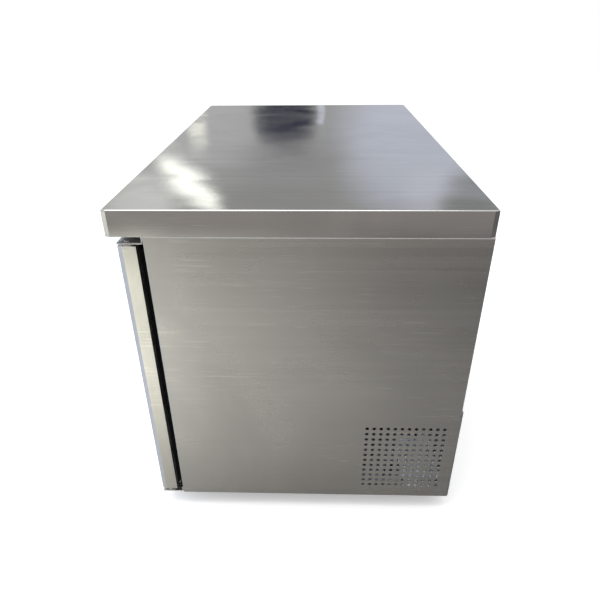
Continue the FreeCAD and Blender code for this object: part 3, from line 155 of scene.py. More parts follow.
def new_material(slot, metallic=0.0):
    material = bpy.data.materials.new("finish_" + slot)
    material.use_nodes = True
    shader = material.node_tree.nodes["Principled BSDF"]
    shader.inputs["Metallic"].default_value = metallic
    return material, material.node_tree, shader


def feed(tree, shader, colour, roughness, normal):
    for name, value in (("Base Color", colour), ("Roughness", roughness), ("Normal", normal)):
        tree.links.new(value, shader.inputs[name])


def bump(tree, height, depth, under=None):
    """A bump whose full height is depth metres, laid over another normal."""
    sockets = {"Height": height, "Distance": depth, "Strength": 1.0}
    if under is not None:
        sockets["Normal"] = under
    return add_node(tree, "Bump", sockets).outputs[0]


def sheet_metal(slot, colour, roughness, grain, grain_depth=0.00004, buckle=0.0012, fold=0.0008,
                cloud_size=5.0, cloud=0.1):
    """Brushed sheet: belt grain, handling marks, slight buckles, and the soft edge of each fold."""
    material, tree, shader = new_material(slot, metallic=1.0)
    grained = place_group(tree, brushed_grain, {"Stretch": grain})
    marks = place_group(tree, handling_marks, {"Size": cloud_size})
    banded = mix_colours(tree, grained["Bands"], shade(colour, 0.86), shade(colour, 1.08))
    clouded = mix_colours(tree, arithmetic(tree, "MULTIPLY", marks["Cloud"], 0.5), banded,
                          shade(colour, 0.82))
    marked = mix_colours(tree, arithmetic(tree, "MULTIPLY", marks["Speck"], 0.5), clouded,
                         shade(colour, 0.35))
    lined = mix_colours(tree, arithmetic(tree, "MULTIPLY", marks["Hairline"], 0.5), marked,
                        shade(colour, 1.35))
    worn = arithmetic(tree, "MULTIPLY_ADD", marks["Cloud"], cloud,
                      ease(tree, grained["Bands"], 0.3, 0.7, roughness * 0.9, roughness * 1.12))
    place = add_node(tree, "TexCoord").outputs["Object"]
    swell = add_node(tree, "TexNoise", {"Vector": place, "Scale": 3.2, "Detail": 1.5, "Distortion": 0.4})
    edge = add_node(tree, "Bevel", {"Radius": fold}, samples=4).outputs[0]
    rolled = bump(tree, swell.outputs[0], buckle, edge)
    feed(tree, shader, lined, worn, bump(tree, grained["Height"], grain_depth, rolled))
    return material


def dress(material, *names):
    """Gives each CAD node the material in all its slots."""
    for name in names:
        for held in nodes[name].material_slots:
            held.material = material


worktop_finish = sheet_metal("brushed_stainless", (0.66, 0.655, 0.64), 0.07, ALONG_DEPTH,
                             grain_depth=0.00002, buckle=0.0022, fold=0.0006, cloud_size=4.0, cloud=0.04)
panel_finish = sheet_metal("panel_stainless", (0.62, 0.61, 0.585), 0.25, ALONG_DEPTH,
                           buckle=0.0015, fold=0.0004, cloud_size=3.0)
dress(worktop_finish, "worktop")
dress(panel_finish, "right_end_panel", "left_end_panel")


# ---- Board under the worktop ------------------------------------------------
# A plywood board faced with dark film fills the folded top, so that it doesn't drum or dent.
# Only its underside shows, inside the hem, with the mesh of the press plate in its film.

def film_faced_board():
    material, tree, shader = new_material("worktop_board")
    place = add_node(tree, "TexCoord").outputs["Object"]
    weave = add_node(tree, "TexVoronoi", {"Vector": place, "Scale": 450.0, "Randomness": 0.15})
    scuffs = add_node(tree, "TexNoise", {"Vector": place, "Scale": 30.0, "Detail": 5.0})
    colour = mix_colours(tree, ease(tree, scuffs.outputs[0], 0.5, 0.75), (0.035, 0.03, 0.034, 1.0),
                         (0.12, 0.11, 0.11, 1.0))
    feed(tree, shader, colour, ease(tree, scuffs.outputs[0], 0.3, 0.7, 0.4, 0.6),
         bump(tree, weave.outputs["Distance"], 0.0003))
    return material


dress(film_faced_board(), "worktop_board")


# ---- Galvanised sheets ------------------------------------------------------
# The floor, the back, the machine bay and its cover are plain galvanised steel, cut and folded.
# The hot zinc froze into spangles, which have gone dull in clouds.

def galvanised():
    material, tree, shader = new_material("galvanised_sheet", metallic=1.0)
    place = add_node(tree, "TexCoord").outputs["Object"]
    spangle = add_node(tree, "TexVoronoi", {"Vector": place, "Scale": 75.0, "Randomness": 0.9})
    tone = add_node(tree, "SeparateXYZ", {"Vector": spangle.outputs["Color"]}).outputs[0]
    marks = place_group(tree, handling_marks, {"Size": 6.0})
    zinc = mix_colours(tree, tone, (0.43, 0.45, 0.46, 1.0), (0.6, 0.62, 0.63, 1.0))
    dulled = mix_colours(tree, arithmetic(tree, "MULTIPLY", marks["Cloud"], 0.6), zinc,
                         (0.36, 0.365, 0.37, 1.0))
    rough = arithmetic(tree, "MULTIPLY_ADD", marks["Cloud"], 0.16, ease(tree, tone, 0.0, 1.0, 0.34, 0.48))
    edge = add_node(tree, "Bevel", {"Radius": 0.0008}, samples=4).outputs[0]
    scored = bump(tree, marks["Hairline"], -0.00003, edge)
    feed(tree, shader, dulled, rough, bump(tree, tone, 0.00005, scored))
    return material


galvanised_finish = galvanised()
dress(galvanised_finish, "base_panel", "bay_bulkhead", "back_panel", "rear_cover", "condenser_shroud")


# ---- Insulation -------------------------------------------------------------
# Rigid foam is poured between the outer sheets and the liner, and inside each door, where it sets
# and glues them together. It shows a fine skin with burst cells.

def foam():
    material, tree, shader = new_material("polyurethane_foam")
    place = add_node(tree, "TexCoord").outputs["Object"]
    cells = add_node(tree, "TexVoronoi", {"Vector": place, "Scale": 420.0})
    flow = add_node(tree, "TexNoise", {"Vector": place, "Scale": 14.0, "Detail": 4.0, "Distortion": 1.2})
    colour = mix_colours(tree, flow.outputs[0], (0.78, 0.68, 0.42, 1.0), (0.9, 0.84, 0.64, 1.0))
    feed(tree, shader, colour, ease(tree, flow.outputs[0], 0.3, 0.7, 0.7, 0.9),
         bump(tree, cells.outputs["Distance"], 0.0006))
    return material


dress(foam(), "cabinet_insulation", "right_door_insulation", "left_door_insulation")


# ---- Liner, face frame and mullion ------------------------------------------
# The cavity is lined with satin stainless sheet. Welded strips frame the two doorways, and a
# hollow post stands between them. Slotted strips and clips in the same sheet carry the shelves.

liner_finish = sheet_metal("stainless_sheet", (0.66, 0.66, 0.65), 0.34, ALONG_LENGTH,
                           grain_depth=0.00003, buckle=0.001, fold=0.001)
dress(liner_finish, "inner_liner", "face_frame", "mullion", "shelf_pilasters", "shelf_clips",
      "evaporator_cover", "right_door_liner", "left_door_liner")


# ---- Brackets, pins and screws ----------------------------------------------
# The doors hang on steel pins between folded brackets, which pan-head screws hold to the face
# frame. The same screws hold the rear cover. All of it is bright zinc plate, a little yellowed.

def zinc_plate():
    material, tree, shader = new_material("zinc_plated_steel", metallic=1.0)
    marks = place_group(tree, handling_marks, {"Size": 30.0})
    plate = mix_colours(tree, marks["Cloud"], (0.82, 0.82, 0.8, 1.0), (0.6, 0.59, 0.56, 1.0))
    scratched = mix_colours(tree, marks["Hairline"], plate, (0.85, 0.85, 0.83, 1.0))
    rough = ease(tree, marks["Cloud"], 0.0, 1.0, 0.2, 0.4)
    edge = add_node(tree, "Bevel", {"Radius": 0.0005}, samples=4).outputs[0]
    feed(tree, shader, scratched, rough, bump(tree, marks["Cloud"], 0.00005, edge))
    return material


zinc_finish = zinc_plate()
dress(zinc_finish, "top_hinge_brackets", "bottom_hinge_brackets", "hinge_pins", "hinge_screws",
      "cover_screws")


# ---- Doors ------------------------------------------------------------------
# Each door is a stainless tray with bevelled edges, brushed upright, closed by a dished liner
# over poured foam. Its hinge pins turn in white acetal bushes pressed into the tray.

door_finish = sheet_metal("door_stainless", (0.76, 0.745, 0.69), 0.15, ALONG_HEIGHT,
                          buckle=0.0012, fold=0.0006)
dress(door_finish, "right_door_skin", "left_door_skin")


def plastic(slot, colour, roughness, texture, depth, sheen=0.5):
    """Moulded plastic: a spark-eroded texture, worn paler and glossier in patches."""
    material, tree, shader = new_material(slot)
    shader.inputs["Specular IOR Level"].default_value = sheen
    place = add_node(tree, "TexCoord").outputs["Object"]
    grain = add_node(tree, "TexNoise", {"Vector": place, "Scale": texture, "Detail": 2.0})
    marks = place_group(tree, handling_marks, {"Size": 18.0})
    tone = mix_colours(tree, marks["Cloud"], shade(colour), shade(colour, 1.35))
    rough = ease(tree, marks["Cloud"], 0.0, 1.0, roughness, roughness * 0.8)
    feed(tree, shader, tone, rough, bump(tree, grain.outputs[0], depth))
    return material


black_plastic = plastic("black_plastic", (0.03, 0.03, 0.033), 0.45, 1500.0, 0.0001)
dress(plastic("acetal_plastic", (0.8, 0.8, 0.76), 0.35, 900.0, 0.00003), "right_door_bushes",
      "left_door_bushes")
dress(black_plastic, "foot_sockets", "compressor_terminal_cover", "thermostat_body",
      "evaporator_fan_motor", "condenser_fan_rotor", "evaporator_fan_rotor", "thermostat_knob")


# ---- Door gaskets -----------------------------------------------------------
# A soft black extrusion runs round the back of each door, mitred and welded at the corners.
# A foot clips to the liner, a bellows folds when the door shuts, and a magnet strip lies in the head.

GASKET_WIDE = 0.018

# The profile, from the outer edge of the foot round to the inner one: share of the width across,
# and share of the height from the foot to the head.
GASKET_PROFILE = (
    (0.02, 0.0), (0.0, 0.1), (0.04, 0.22), (0.2, 0.27), (0.24, 0.36), (0.1, 0.45), (0.1, 0.52),
    (0.22, 0.58), (0.22, 0.64), (0.08, 0.7), (0.05, 0.84), (0.1, 0.97), (0.3, 1.0), (0.5, 0.99),
    (0.7, 1.0), (0.9, 0.97), (0.95, 0.84), (0.92, 0.7), (0.78, 0.64), (0.78, 0.58), (0.9, 0.52),
    (0.9, 0.45), (0.76, 0.36), (0.8, 0.27), (0.96, 0.22), (1.0, 0.1), (0.98, 0.0),
)


def finished_piece(name, mesh, material, body, smooth=True):
    """Makes the piece from a bmesh whose place is already in it, and lets it ride on its body."""
    bmesh.ops.remove_doubles(mesh, verts=mesh.verts, dist=1e-6)
    bmesh.ops.recalc_face_normals(mesh, faces=mesh.faces)
    data = bpy.data.meshes.new(name)
    mesh.to_mesh(data)
    mesh.free()
    for face in data.polygons:
        face.use_smooth = smooth
    data.materials.append(material)
    made = bpy.data.objects.new(name, data)
    bpy.context.scene.collection.objects.link(made)
    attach(made, body)
    return made


def rubber(slot, colour, dust):
    material, tree, shader = new_material(slot)
    shader.inputs["Specular IOR Level"].default_value = 0.25
    marks = place_group(tree, handling_marks, {"Size": 22.0})
    place = add_node(tree, "TexCoord").outputs["Object"]
    skin = add_node(tree, "TexNoise", {"Vector": place, "Scale": 700.0, "Detail": 3.0})
    tone = mix_colours(tree, arithmetic(tree, "MULTIPLY", marks["Cloud"], dust), shade(colour),
                       (0.22, 0.21, 0.2, 1.0))
    feed(tree, shader, tone, ease(tree, marks["Cloud"], 0.0, 1.0, 0.5, 0.75),
         bump(tree, skin.outputs[0], 0.00008))
    return material


gasket_rubber = rubber("gasket_rubber", (0.003, 0.003, 0.0033), 0.015)


def door_gasket(side):
    """Draws one rectangle of edges round the door for each point of the profile, then joins them."""
    low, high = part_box(side + "_door_gasket")
    mesh = bmesh.new()
    rings = []
    for across, along in GASKET_PROFILE:
        inset = across * GASKET_WIDE
        depth = low.y + along * (high.y - low.y)
        spot = Matrix.Translation(((low.x + high.x) / 2, depth, (low.z + high.z) / 2))
        upright = Matrix.Rotation(math.pi / 2, 4, "X")
        size = Matrix.Diagonal((high.x - low.x - 2 * inset, 1.0, high.z - low.z - 2 * inset, 1.0))
        ring = bmesh.ops.create_circle(mesh, segments=4, radius=math.sqrt(0.5), cap_ends=False,
                                       matrix=spot @ size @ upright @ Matrix.Rotation(math.pi / 4, 4, "Z"))
        rings.append(sorted({edge for vert in ring["verts"] for edge in vert.link_edges},
                            key=lambda edge: edge.index))
    for ring, following in zip(rings, rings[1:] + rings[:1]):
        bmesh.ops.bridge_loops(mesh, edges=ring + following)
    made = finished_piece(side + "_gasket_bellows", mesh, gasket_rubber, side + "_door",
                          smooth=False)
    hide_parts(side + "_door_gasket")


door_gasket("right")
door_gasket("left")


# ---- Sealant ----------------------------------------------------------------
# A thin bead of white sealant fills the wedge over each end panel's rolled top, where the worktop
# lands on it, and is wiped off flush. It keeps spills out of the joint. Its near-white colour is also
# a painted highlight: it stands in for the bright line that the rolled top catches from the light above.

FOLD_RADIUS = 0.0025
BEAD_CLEAR = 0.00004
BEAD_STEPS = 8


def sealant():
    material, tree, shader = new_material("sealant_and_painted_highlight")
    place = add_node(tree, "TexCoord").outputs["Object"]
    drag = add_node(tree, "TexNoise", {"Vector": place, "Scale": 160.0, "Detail": 3.0})
    marks = place_group(tree, handling_marks, {"Size": 20.0})
    # Painted highlight: the bead is kept near white to stand for the bright line along the joint; the
    # clouds are handling marks.
    colour = mix_colours(tree, marks["Cloud"], (0.94, 0.94, 0.92, 1.0), (0.84, 0.83, 0.8, 1.0))
    feed(tree, shader, colour, ease(tree, marks["Cloud"], 0.0, 1.0, 0.35, 0.5),
         bump(tree, drag.outputs[0], 0.0002))
    return material


def sealant_bead(side, outward, material):
    low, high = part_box(side + "_end_panel")
    face = high.x if outward > 0 else low.x
    wipe, roof = face - outward * BEAD_CLEAR, high.z - BEAD_CLEAR
    start, length = low.y + FOLD_RADIUS, high.y - low.y - 2 * FOLD_RADIUS
    mesh = bmesh.new()
    outline = [mesh.verts.new((wipe, start, roof))]
    for step in range(BEAD_STEPS + 1):
        turn = math.pi / 2 * step / BEAD_STEPS
        reach = outward * FOLD_RADIUS * (math.sin(turn) - 1.0)
        rise = FOLD_RADIUS * (math.cos(turn) - 1.0)
        outline.append(mesh.verts.new((wipe + reach, start, roof + rise)))
    bmesh.ops.contextual_create(mesh, geom=outline)
    drawn = bmesh.ops.extrude_face_region(mesh, geom=mesh.faces[:])["geom"]
    far_end = [vert for vert in drawn if isinstance(vert, bmesh.types.BMVert)]
    bmesh.ops.translate(mesh, vec=(0, length, 0), verts=far_end)
    finished_piece(side + "_sealant_bead", mesh, material, "cabinet", smooth=False)


sealant_and_painted_highlight = sealant()
sealant_bead("right", 1.0, sealant_and_painted_highlight)
sealant_bead("left", -1.0, sealant_and_painted_highlight)


# ---- Door pulls -------------------------------------------------------------
# A moulded black cup sits in each door front, near the middle of the cabinet. Its rounded rim
# laps the sheet, and its sides draw in a little towards the bottom so that it leaves the mould.

PULL_LAP = 0.0072
PULL_WALL = 0.0015
PULL_DRAFT = 0.0015
PULL_CORNER = 0.006
PULL_EDGE = 0.0005


def pushed(mesh, faces, shift):
    """Extrudes the faces and moves the new ones; gives back the new faces."""
    drawn = bmesh.ops.extrude_face_region(mesh, geom=faces)["geom"]
    bmesh.ops.translate(mesh, vec=shift, verts=[v for v in drawn if isinstance(v, bmesh.types.BMVert)])
    bmesh.ops.delete(mesh, geom=faces, context="FACES_ONLY")
    return [face for face in drawn if isinstance(face, bmesh.types.BMFace)]


def soften(made, width, segments=2):
    edges = made.modifiers.new("soft_edges", "BEVEL")
    edges.width, edges.segments, edges.limit_method = width, segments, "ANGLE"
    edges.harden_normals = True


def door_pull(side):
    low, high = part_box(side + "_door_pull")
    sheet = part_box(side + "_door_skin")[0].y
    centre, span = (low + high) / 2, high - low
    mesh = bmesh.new()
    place = (Matrix.Translation((centre.x, sheet, centre.z)) @ Matrix.Diagonal((span.x, 1.0, span.z, 1.0))
             @ Matrix.Rotation(math.pi / 2, 4, "X"))
    bmesh.ops.create_grid(mesh, x_segments=1, y_segments=1, size=0.5, matrix=place)
    bmesh.ops.bevel(mesh, geom=mesh.verts[:], offset=PULL_CORNER, segments=6, profile=0.5,
                    material=-1, affect="VERTICES")
    front = pushed(mesh, mesh.faces[:], (0, low.y - sheet, 0))
    bmesh.ops.inset_region(mesh, faces=front, thickness=PULL_LAP, use_even_offset=True)
    bottom = pushed(mesh, front, (0, high.y - PULL_WALL - low.y, 0))
    bmesh.ops.inset_region(mesh, faces=bottom, thickness=PULL_DRAFT, use_even_offset=True)
    made = finished_piece(side + "_pull_cup", mesh, black_plastic, side + "_door")
    wall = made.modifiers.new("wall", "SOLIDIFY")
    wall.thickness, wall.offset = PULL_WALL, -1.0
    soften(made, PULL_EDGE)
    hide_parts(side + "_door_pull")


door_pull("right")
door_pull("left")


# ---- Levelling feet ---------------------------------------------------------
# Four zinc-plated feet screw into sockets in the floor panel. Each is a turned pad on a threaded
# stem, with a lock nut under the panel. The thread is drawn as plain rings.

STEM_RADIUS = 0.006
STEM_TIP = 0.002
THREAD_PITCH = 0.00175
THREAD_DEPTH = 0.0011
NUT_TALL = 0.0072
NUT_RADIUS = 0.0112
NUT_GAP = 0.0003
SHARP_TURN = math.radians(28)

# The pad's section from the middle of its sole upward: share of the pad's radius, and height.
PAD_SECTION = ((0.0, 0.0), (0.93, 0.0), (1.0, 0.0012), (1.0, 0.005), (0.93, 0.0068), (0.8, 0.009),
               (0.45, 0.011))
NECK_FLARE = 0.0015
NECK_FOOT = 0.0135
NECK_TOP = 0.0145


def levelling_foot(corner):
    name = corner + "_levelling_foot"
    low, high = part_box(name)
    centre = (low + high) / 2
    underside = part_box("base_panel")[0].z
    pad = (high.x - low.x) / 2
    profile = [(pad * share, height) for share, height in PAD_SECTION]
    profile += [(STEM_RADIUS + NECK_FLARE, NECK_FOOT), (STEM_RADIUS, NECK_TOP)]
    turns = int((high.z - STEM_TIP - NECK_TOP) / THREAD_PITCH)
    for turn in range(turns):
        height = NECK_TOP + turn * THREAD_PITCH
        profile += [(STEM_RADIUS - THREAD_DEPTH, height + THREAD_PITCH / 2),
                    (STEM_RADIUS, height + THREAD_PITCH)]
    profile.append((0.0, high.z))
    mesh = bmesh.new()
    line = [mesh.verts.new((centre.x + reach, centre.y, height)) for reach, height in profile]
    edges = [mesh.edges.new(pair) for pair in zip(line, line[1:])]
    bmesh.ops.spin(mesh, geom=line + edges, cent=centre, axis=(0, 0, 1), angle=2 * math.pi, steps=28,
                   use_merge=True)
    nut = Matrix.Translation((centre.x, centre.y, underside - NUT_TALL / 2 - NUT_GAP))
    bmesh.ops.create_cone(mesh, cap_ends=True, segments=6, radius1=NUT_RADIUS, radius2=NUT_RADIUS,
                          depth=NUT_TALL, matrix=nut)
    made = finished_piece(corner + "_foot_turned", mesh, zinc_finish, corner + "_foot")
    made.data.set_sharp_from_angle(angle=SHARP_TURN)
    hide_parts(name)


for corner in ("front_left", "front_right", "rear_left", "rear_right"):
    levelling_foot(corner)


# ---- Shelves ----------------------------------------------------------------
# Each shelf is a grid of steel wire, welded and dipped in a grey polymer that has chipped in a
# few places. It lies loose on its clips.

def coated_wire():
    material, tree, shader = new_material("shelf_wire")
    shader.inputs["Coat Weight"].default_value = 0.25
    place = add_node(tree, "TexCoord").outputs["Object"]
    flow = add_node(tree, "TexNoise", {"Vector": place, "Scale": 260.0, "Detail": 2.0})
    marks = place_group(tree, handling_marks, {"Size": 16.0})
    colour = mix_colours(tree, marks["Cloud"], (0.62, 0.63, 0.62, 1.0), (0.5, 0.5, 0.48, 1.0))
    chipped = mix_colours(tree, marks["Speck"], colour, (0.3, 0.24, 0.18, 1.0))
    feed(tree, shader, chipped, ease(tree, flow.outputs[0], 0.3, 0.7, 0.3, 0.45),
         bump(tree, flow.outputs[0], 0.0002))
    return material


dress(coated_wire(), "right_shelf", "left_shelf")


# ---- Cooling coils ----------------------------------------------------------
# Both coils are bare aluminium fins pressed on copper tube. The tube has tarnished, and the fins
# have dulled in places.

def fins():
    material, tree, shader = new_material("aluminium_fins", metallic=1.0)
    marks = place_group(tree, handling_marks, {"Size": 20.0})
    place = add_node(tree, "TexCoord").outputs["Object"]
    dents = add_node(tree, "TexNoise", {"Vector": place, "Scale": 120.0, "Detail": 2.0})
    colour = mix_colours(tree, marks["Cloud"], (0.78, 0.79, 0.8, 1.0), (0.55, 0.54, 0.52, 1.0))
    feed(tree, shader, colour, ease(tree, marks["Cloud"], 0.0, 1.0, 0.3, 0.5),
         bump(tree, dents.outputs[0], 0.0004))
    return material


def copper():
    material, tree, shader = new_material("copper_tube", metallic=1.0)
    marks = place_group(tree, handling_marks, {"Size": 26.0})
    tarnish = mix_colours(tree, marks["Cloud"], (0.72, 0.4, 0.26, 1.0), (0.36, 0.18, 0.11, 1.0))
    drawn = mix_colours(tree, marks["Hairline"], tarnish, (0.8, 0.52, 0.38, 1.0))
    feed(tree, shader, drawn, ease(tree, marks["Cloud"], 0.0, 1.0, 0.2, 0.42),
         bump(tree, marks["Cloud"], 0.00008))
    return material


dress(fins(), "evaporator_fins", "condenser_fins")
dress(copper(), "evaporator_tubes", "condenser_tubes", "discharge_pipe", "liquid_pipes",
      "filter_drier")


# ---- Suction pipe sleeve ----------------------------------------------------
# The cold pipe back to the compressor wears a foam sleeve wrapped in foil, which crinkled all
# along when it was wrapped and bent by hand. The foil's colour is darker along the creases: painted
# shade in the folds.

def foil():
    material, tree, shader = new_material("foil_sleeve", metallic=1.0)
    place = add_node(tree, "TexCoord").outputs["Object"]
    creases = add_node(tree, "TexVoronoi", {"Vector": place, "Scale": 130.0}, feature="DISTANCE_TO_EDGE")
    depth = ease(tree, creases.outputs["Distance"], 0.0, 0.25)
    # Painted shade: the foil is darker along the creases, where the folds fall into shade.
    colour = mix_colours(tree, depth, (0.6, 0.61, 0.62, 1.0), (0.84, 0.85, 0.86, 1.0))
    feed(tree, shader, colour, ease(tree, depth, 0.0, 1.0, 0.4, 0.22), bump(tree, depth, 0.001))
    return material


dress(foil(), "suction_pipe")


# ---- Thermostat -------------------------------------------------------------
# A black knob on the evaporator cover turns the thermostat. A white line is set in its face,
# and bars round it mark the settings, longest at the coldest.

KNOB_LINE = (0.0016, 0.0005, 0.009)
LINE_DROP = 0.007
LINE_PROUD = 0.00005
KNOB_MARKS = 7
MARK_SWEEP = math.radians(270)
MARK_WIDE = 0.0014
MARK_THICK = 0.0004
MARK_SHORTEST = 0.003
MARK_GROWTH = 0.0007
MARK_CLEAR = 0.004


def bar(mesh, centre, size, turn=0.0):
    """A bar in the upright plane, turned about the depth axis through its own centre."""
    place = (Matrix.Translation(centre) @ Matrix.Rotation(turn, 4, "Y")
             @ Matrix.Diagonal((*size, 1.0)))
    bmesh.ops.create_cube(mesh, size=1.0, matrix=place)


def thermostat_marks():
    low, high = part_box("thermostat_knob")
    centre = (low + high) / 2
    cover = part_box("evaporator_cover")[0].y
    white = plastic("marking_white", (0.75, 0.75, 0.72), 0.4, 1200.0, 0.00003)
    line = bmesh.new()
    bar(line, (centre.x, low.y - LINE_PROUD, high.z - LINE_DROP), KNOB_LINE)
    finished_piece("thermostat_knob_line", line, white, "thermostat_knob",
                   smooth=False)
    scale = bmesh.new()
    for mark in range(KNOB_MARKS):
        angle = MARK_SWEEP * mark / (KNOB_MARKS - 1)
        length = MARK_SHORTEST + MARK_GROWTH * mark
        reach = (high.x - low.x) / 2 + MARK_CLEAR + length / 2
        spot = (centre.x + reach * math.sin(angle), cover - MARK_THICK / 2,
                centre.z + reach * math.cos(angle))
        bar(scale, spot, (MARK_WIDE, MARK_THICK, length), angle)
    finished_piece("thermostat_setting_bars", scale, black_plastic, "cabinet",
                   smooth=False)


thermostat_marks()


# ---- Compressor -------------------------------------------------------------
# The compressor is a pressed steel shell in semi-gloss black enamel, on rubber mounts. The fan
# motor beside the condenser is painted the same.

def enamel():
    material, tree, shader = new_material("black_enamel")
    shader.inputs["Coat Weight"].default_value = 0.5
    shader.inputs["Coat Roughness"].default_value = 0.15
    place = add_node(tree, "TexCoord").outputs["Object"]
    peel = add_node(tree, "TexNoise", {"Vector": place, "Scale": 420.0, "Detail": 1.0})
    marks = place_group(tree, handling_marks, {"Size": 15.0})
    dusty = arithmetic(tree, "MULTIPLY", marks["Cloud"], 0.4)
    colour = mix_colours(tree, dusty, (0.012, 0.012, 0.013, 1.0), (0.1, 0.095, 0.09, 1.0))
    feed(tree, shader, colour, ease(tree, marks["Cloud"], 0.0, 1.0, 0.3, 0.5),
         bump(tree, peel.outputs[0], 0.0001))
    return material


dress(enamel(), "compressor", "condenser_fan_motor")
dress(rubber("mount_rubber", (0.03, 0.03, 0.03), 0.3), "compressor_mounts")


# ---- Drain ------------------------------------------------------------------
# Defrost water runs down a rubber hose into a bright pan over the hot pipe, where it dries off.
# The mains cord leaves through a rubber grommet in the back.

dress(sheet_metal("bright_sheet", (0.86, 0.9, 0.96), 0.36, ALONG_LENGTH, grain_depth=0.00002,
                  fold=0.0006, cloud_size=24.0), "condensate_pan")
dress(gasket_rubber, "drain_hose", "cord_grommet")


# ---- Studio -----------------------------------------------------------------
# The cabinet stands on a plain pale floor in soft light. A wide window stands off its front left,
# and the room behind and to the right is dimmer, which the steel shows as slow gradients. A faint
# lamp in the machine bay stands for the daylight that reaches the pan from behind. The camera sees
# the floor and the room near white. Other rays see the floor's colour with painted shade and painted
# glow laid into it, darker towards the back and far off the right end, and the steel mirrors these
# along with the room's tones and shapes.

FLOOR_REACH = 9.0

# Painted shade and painted glow in the floor's colour, which only the steel's reflections show:
# shade beside the end panel, glow off the door's side, glow off the bevels, shade far beyond the
# end panel, and glow well in front of the doors.
NEAR_SHADE = (0.13, 0.125, 0.12, 1.0)
DOOR_GLOW = (0.92, 0.91, 0.82, 1.0)
WINDOW_GLOW = (0.47, 0.51, 0.64, 1.0)
FAR_SHADE = (0.3, 0.275, 0.26, 1.0)
FRONT_GLOW = (0.93, 0.92, 0.84, 1.0)


def studio_floor():
    mesh = bmesh.new()
    bmesh.ops.create_grid(mesh, x_segments=1, y_segments=1, size=FLOOR_REACH)
    data = bpy.data.meshes.new("studio_floor")
    mesh.to_mesh(data)
    mesh.free()
    floor = bpy.data.objects.new("studio_floor", data)
    bpy.context.scene.collection.objects.link(floor)
    material, tree, shader = new_material("studio_floor")
    shader.inputs["Roughness"].default_value = 0.8
    place = add_node(tree, "TexCoord").outputs["Object"]
    flow = add_node(tree, "TexNoise", {"Vector": place, "Scale": 1.3, "Detail": 2.0})
    along = add_node(tree, "SeparateXYZ", {"Vector": place}).outputs
    # Painted shade: to rays other than the camera's, the floor's colour darkens towards the back and far
    # off the right end.
    aside = arithmetic(tree, "MULTIPLY_ADD", flow.outputs[0], 0.4, along[1])
    dim = ease(tree, aside, -0.55, 0.95)
    far_painted_shade = ease(tree, along[0], 1.2, 2.1, 1.0, 0.74)
    seen = add_node(tree, "LightPath").outputs["Is Camera Ray"]
    painted_shade_to_back = mix_colours(tree, dim, (0.6, 0.585, 0.55, 1.0), (0.17, 0.165, 0.16, 1.0))
    reflected = mix_colours(tree, far_painted_shade, (0.0, 0.0, 0.0, 1.0), painted_shade_to_back)
    to_front = arithmetic(tree, "MULTIPLY", along[1], -1.0)
    door_side = arithmetic(tree, "MULTIPLY_ADD", along[0], -0.34, to_front)
    corner_side = arithmetic(tree, "MULTIPLY_ADD", along[0], -0.8, to_front)
    clear = ease(tree, along[0], 0.65, 1.35)
    # Painted shade and painted glow patches laid into the floor's reflected colour.
    for share, tone in (
        (ease(tree, along[0], 0.62, 1.0, 0.3, 0.0), NEAR_SHADE),
        (arithmetic(tree, "MULTIPLY", clear, ease(tree, door_side, -0.08, 0.12)), DOOR_GLOW),
        (ease(tree, corner_side, -0.2, -0.06), WINDOW_GLOW),
        (ease(tree, along[0], 2.35, 2.6), FAR_SHADE),
        (ease(tree, along[1], -1.95, -2.1), FRONT_GLOW),
    ):
        reflected = mix_colours(tree, share, reflected, tone)
    colour = mix_colours(tree, seen, reflected, (0.92, 0.92, 0.92, 1.0))
    tree.links.new(colour, shader.inputs["Base Color"])
    tree.links.new(arithmetic(tree, "MULTIPLY", seen, 0.35), shader.inputs["Emission Strength"])
    shader.inputs["Emission Color"].default_value = (1.0, 1.0, 1.0, 1.0)
    data.materials.append(material)


def studio_light(name, place, aim, size, power, colour=(1.0, 1.0, 1.0)):
    light = bpy.data.lights.new(name, "AREA")
    light.shape, light.size, light.size_y = "RECTANGLE", *size
    light.energy, light.color = power, colour
    lamp = bpy.data.objects.new(name, light)
    lamp.location = place
    lamp.rotation_euler = (Vector(aim) - Vector(place)).to_track_quat("-Z", "Y").to_euler()
    lamp.visible_camera = False
    bpy.context.scene.collection.objects.link(lamp)


# Soft shapes in the room, as the worktop mirrors them: the middle of each, to the side and
# upward; half its length, to the side and upward; half its width; how soft its edge is; its colour.
ROOM_SHAPES = (
    ((0.0, 0.24), (0.5, 0.0), 0.16, 0.5, (0.36, 0.36, 0.355)),
    ((-0.18, 0.17), (0.12, 0.03), 0.07, 0.4, (0.5, 0.5, 0.51)),
    ((-0.3, 0.29), (0.06, 0.0), 0.05, 0.5, (0.82, 0.82, 0.81)),
    ((0.19, 0.19), (0.14, 0.0), 0.12, 0.4, (0.58, 0.61, 0.7)),
    ((0.21, 0.28), (0.05, 0.0), 0.03, 0.4, (0.64, 0.66, 0.74)),
    ((0.27, 0.3), (0.05, 0.0), 0.05, 0.35, (0.27, 0.28, 0.275)),
    ((-0.045, 0.24), (0.08, 0.0), 0.06, 0.6, (0.36, 0.36, 0.365)),
    ((-0.05, 0.161), (0.054, 0.0), 0.036, 0.2, (0.018, 0.02, 0.045)),
    ((-0.216, 0.262), (0.052, 0.048), 0.016, 0.35, (1.9, 1.92, 1.8)),
    ((-0.197, 0.176), (0.016, 0.0), 0.008, 0.4, (1.7, 1.7, 1.5)),
    ((0.012, 0.149), (0.007, 0.0), 0.005, 0.4, (1.3, 1.4, 1.7)),
)


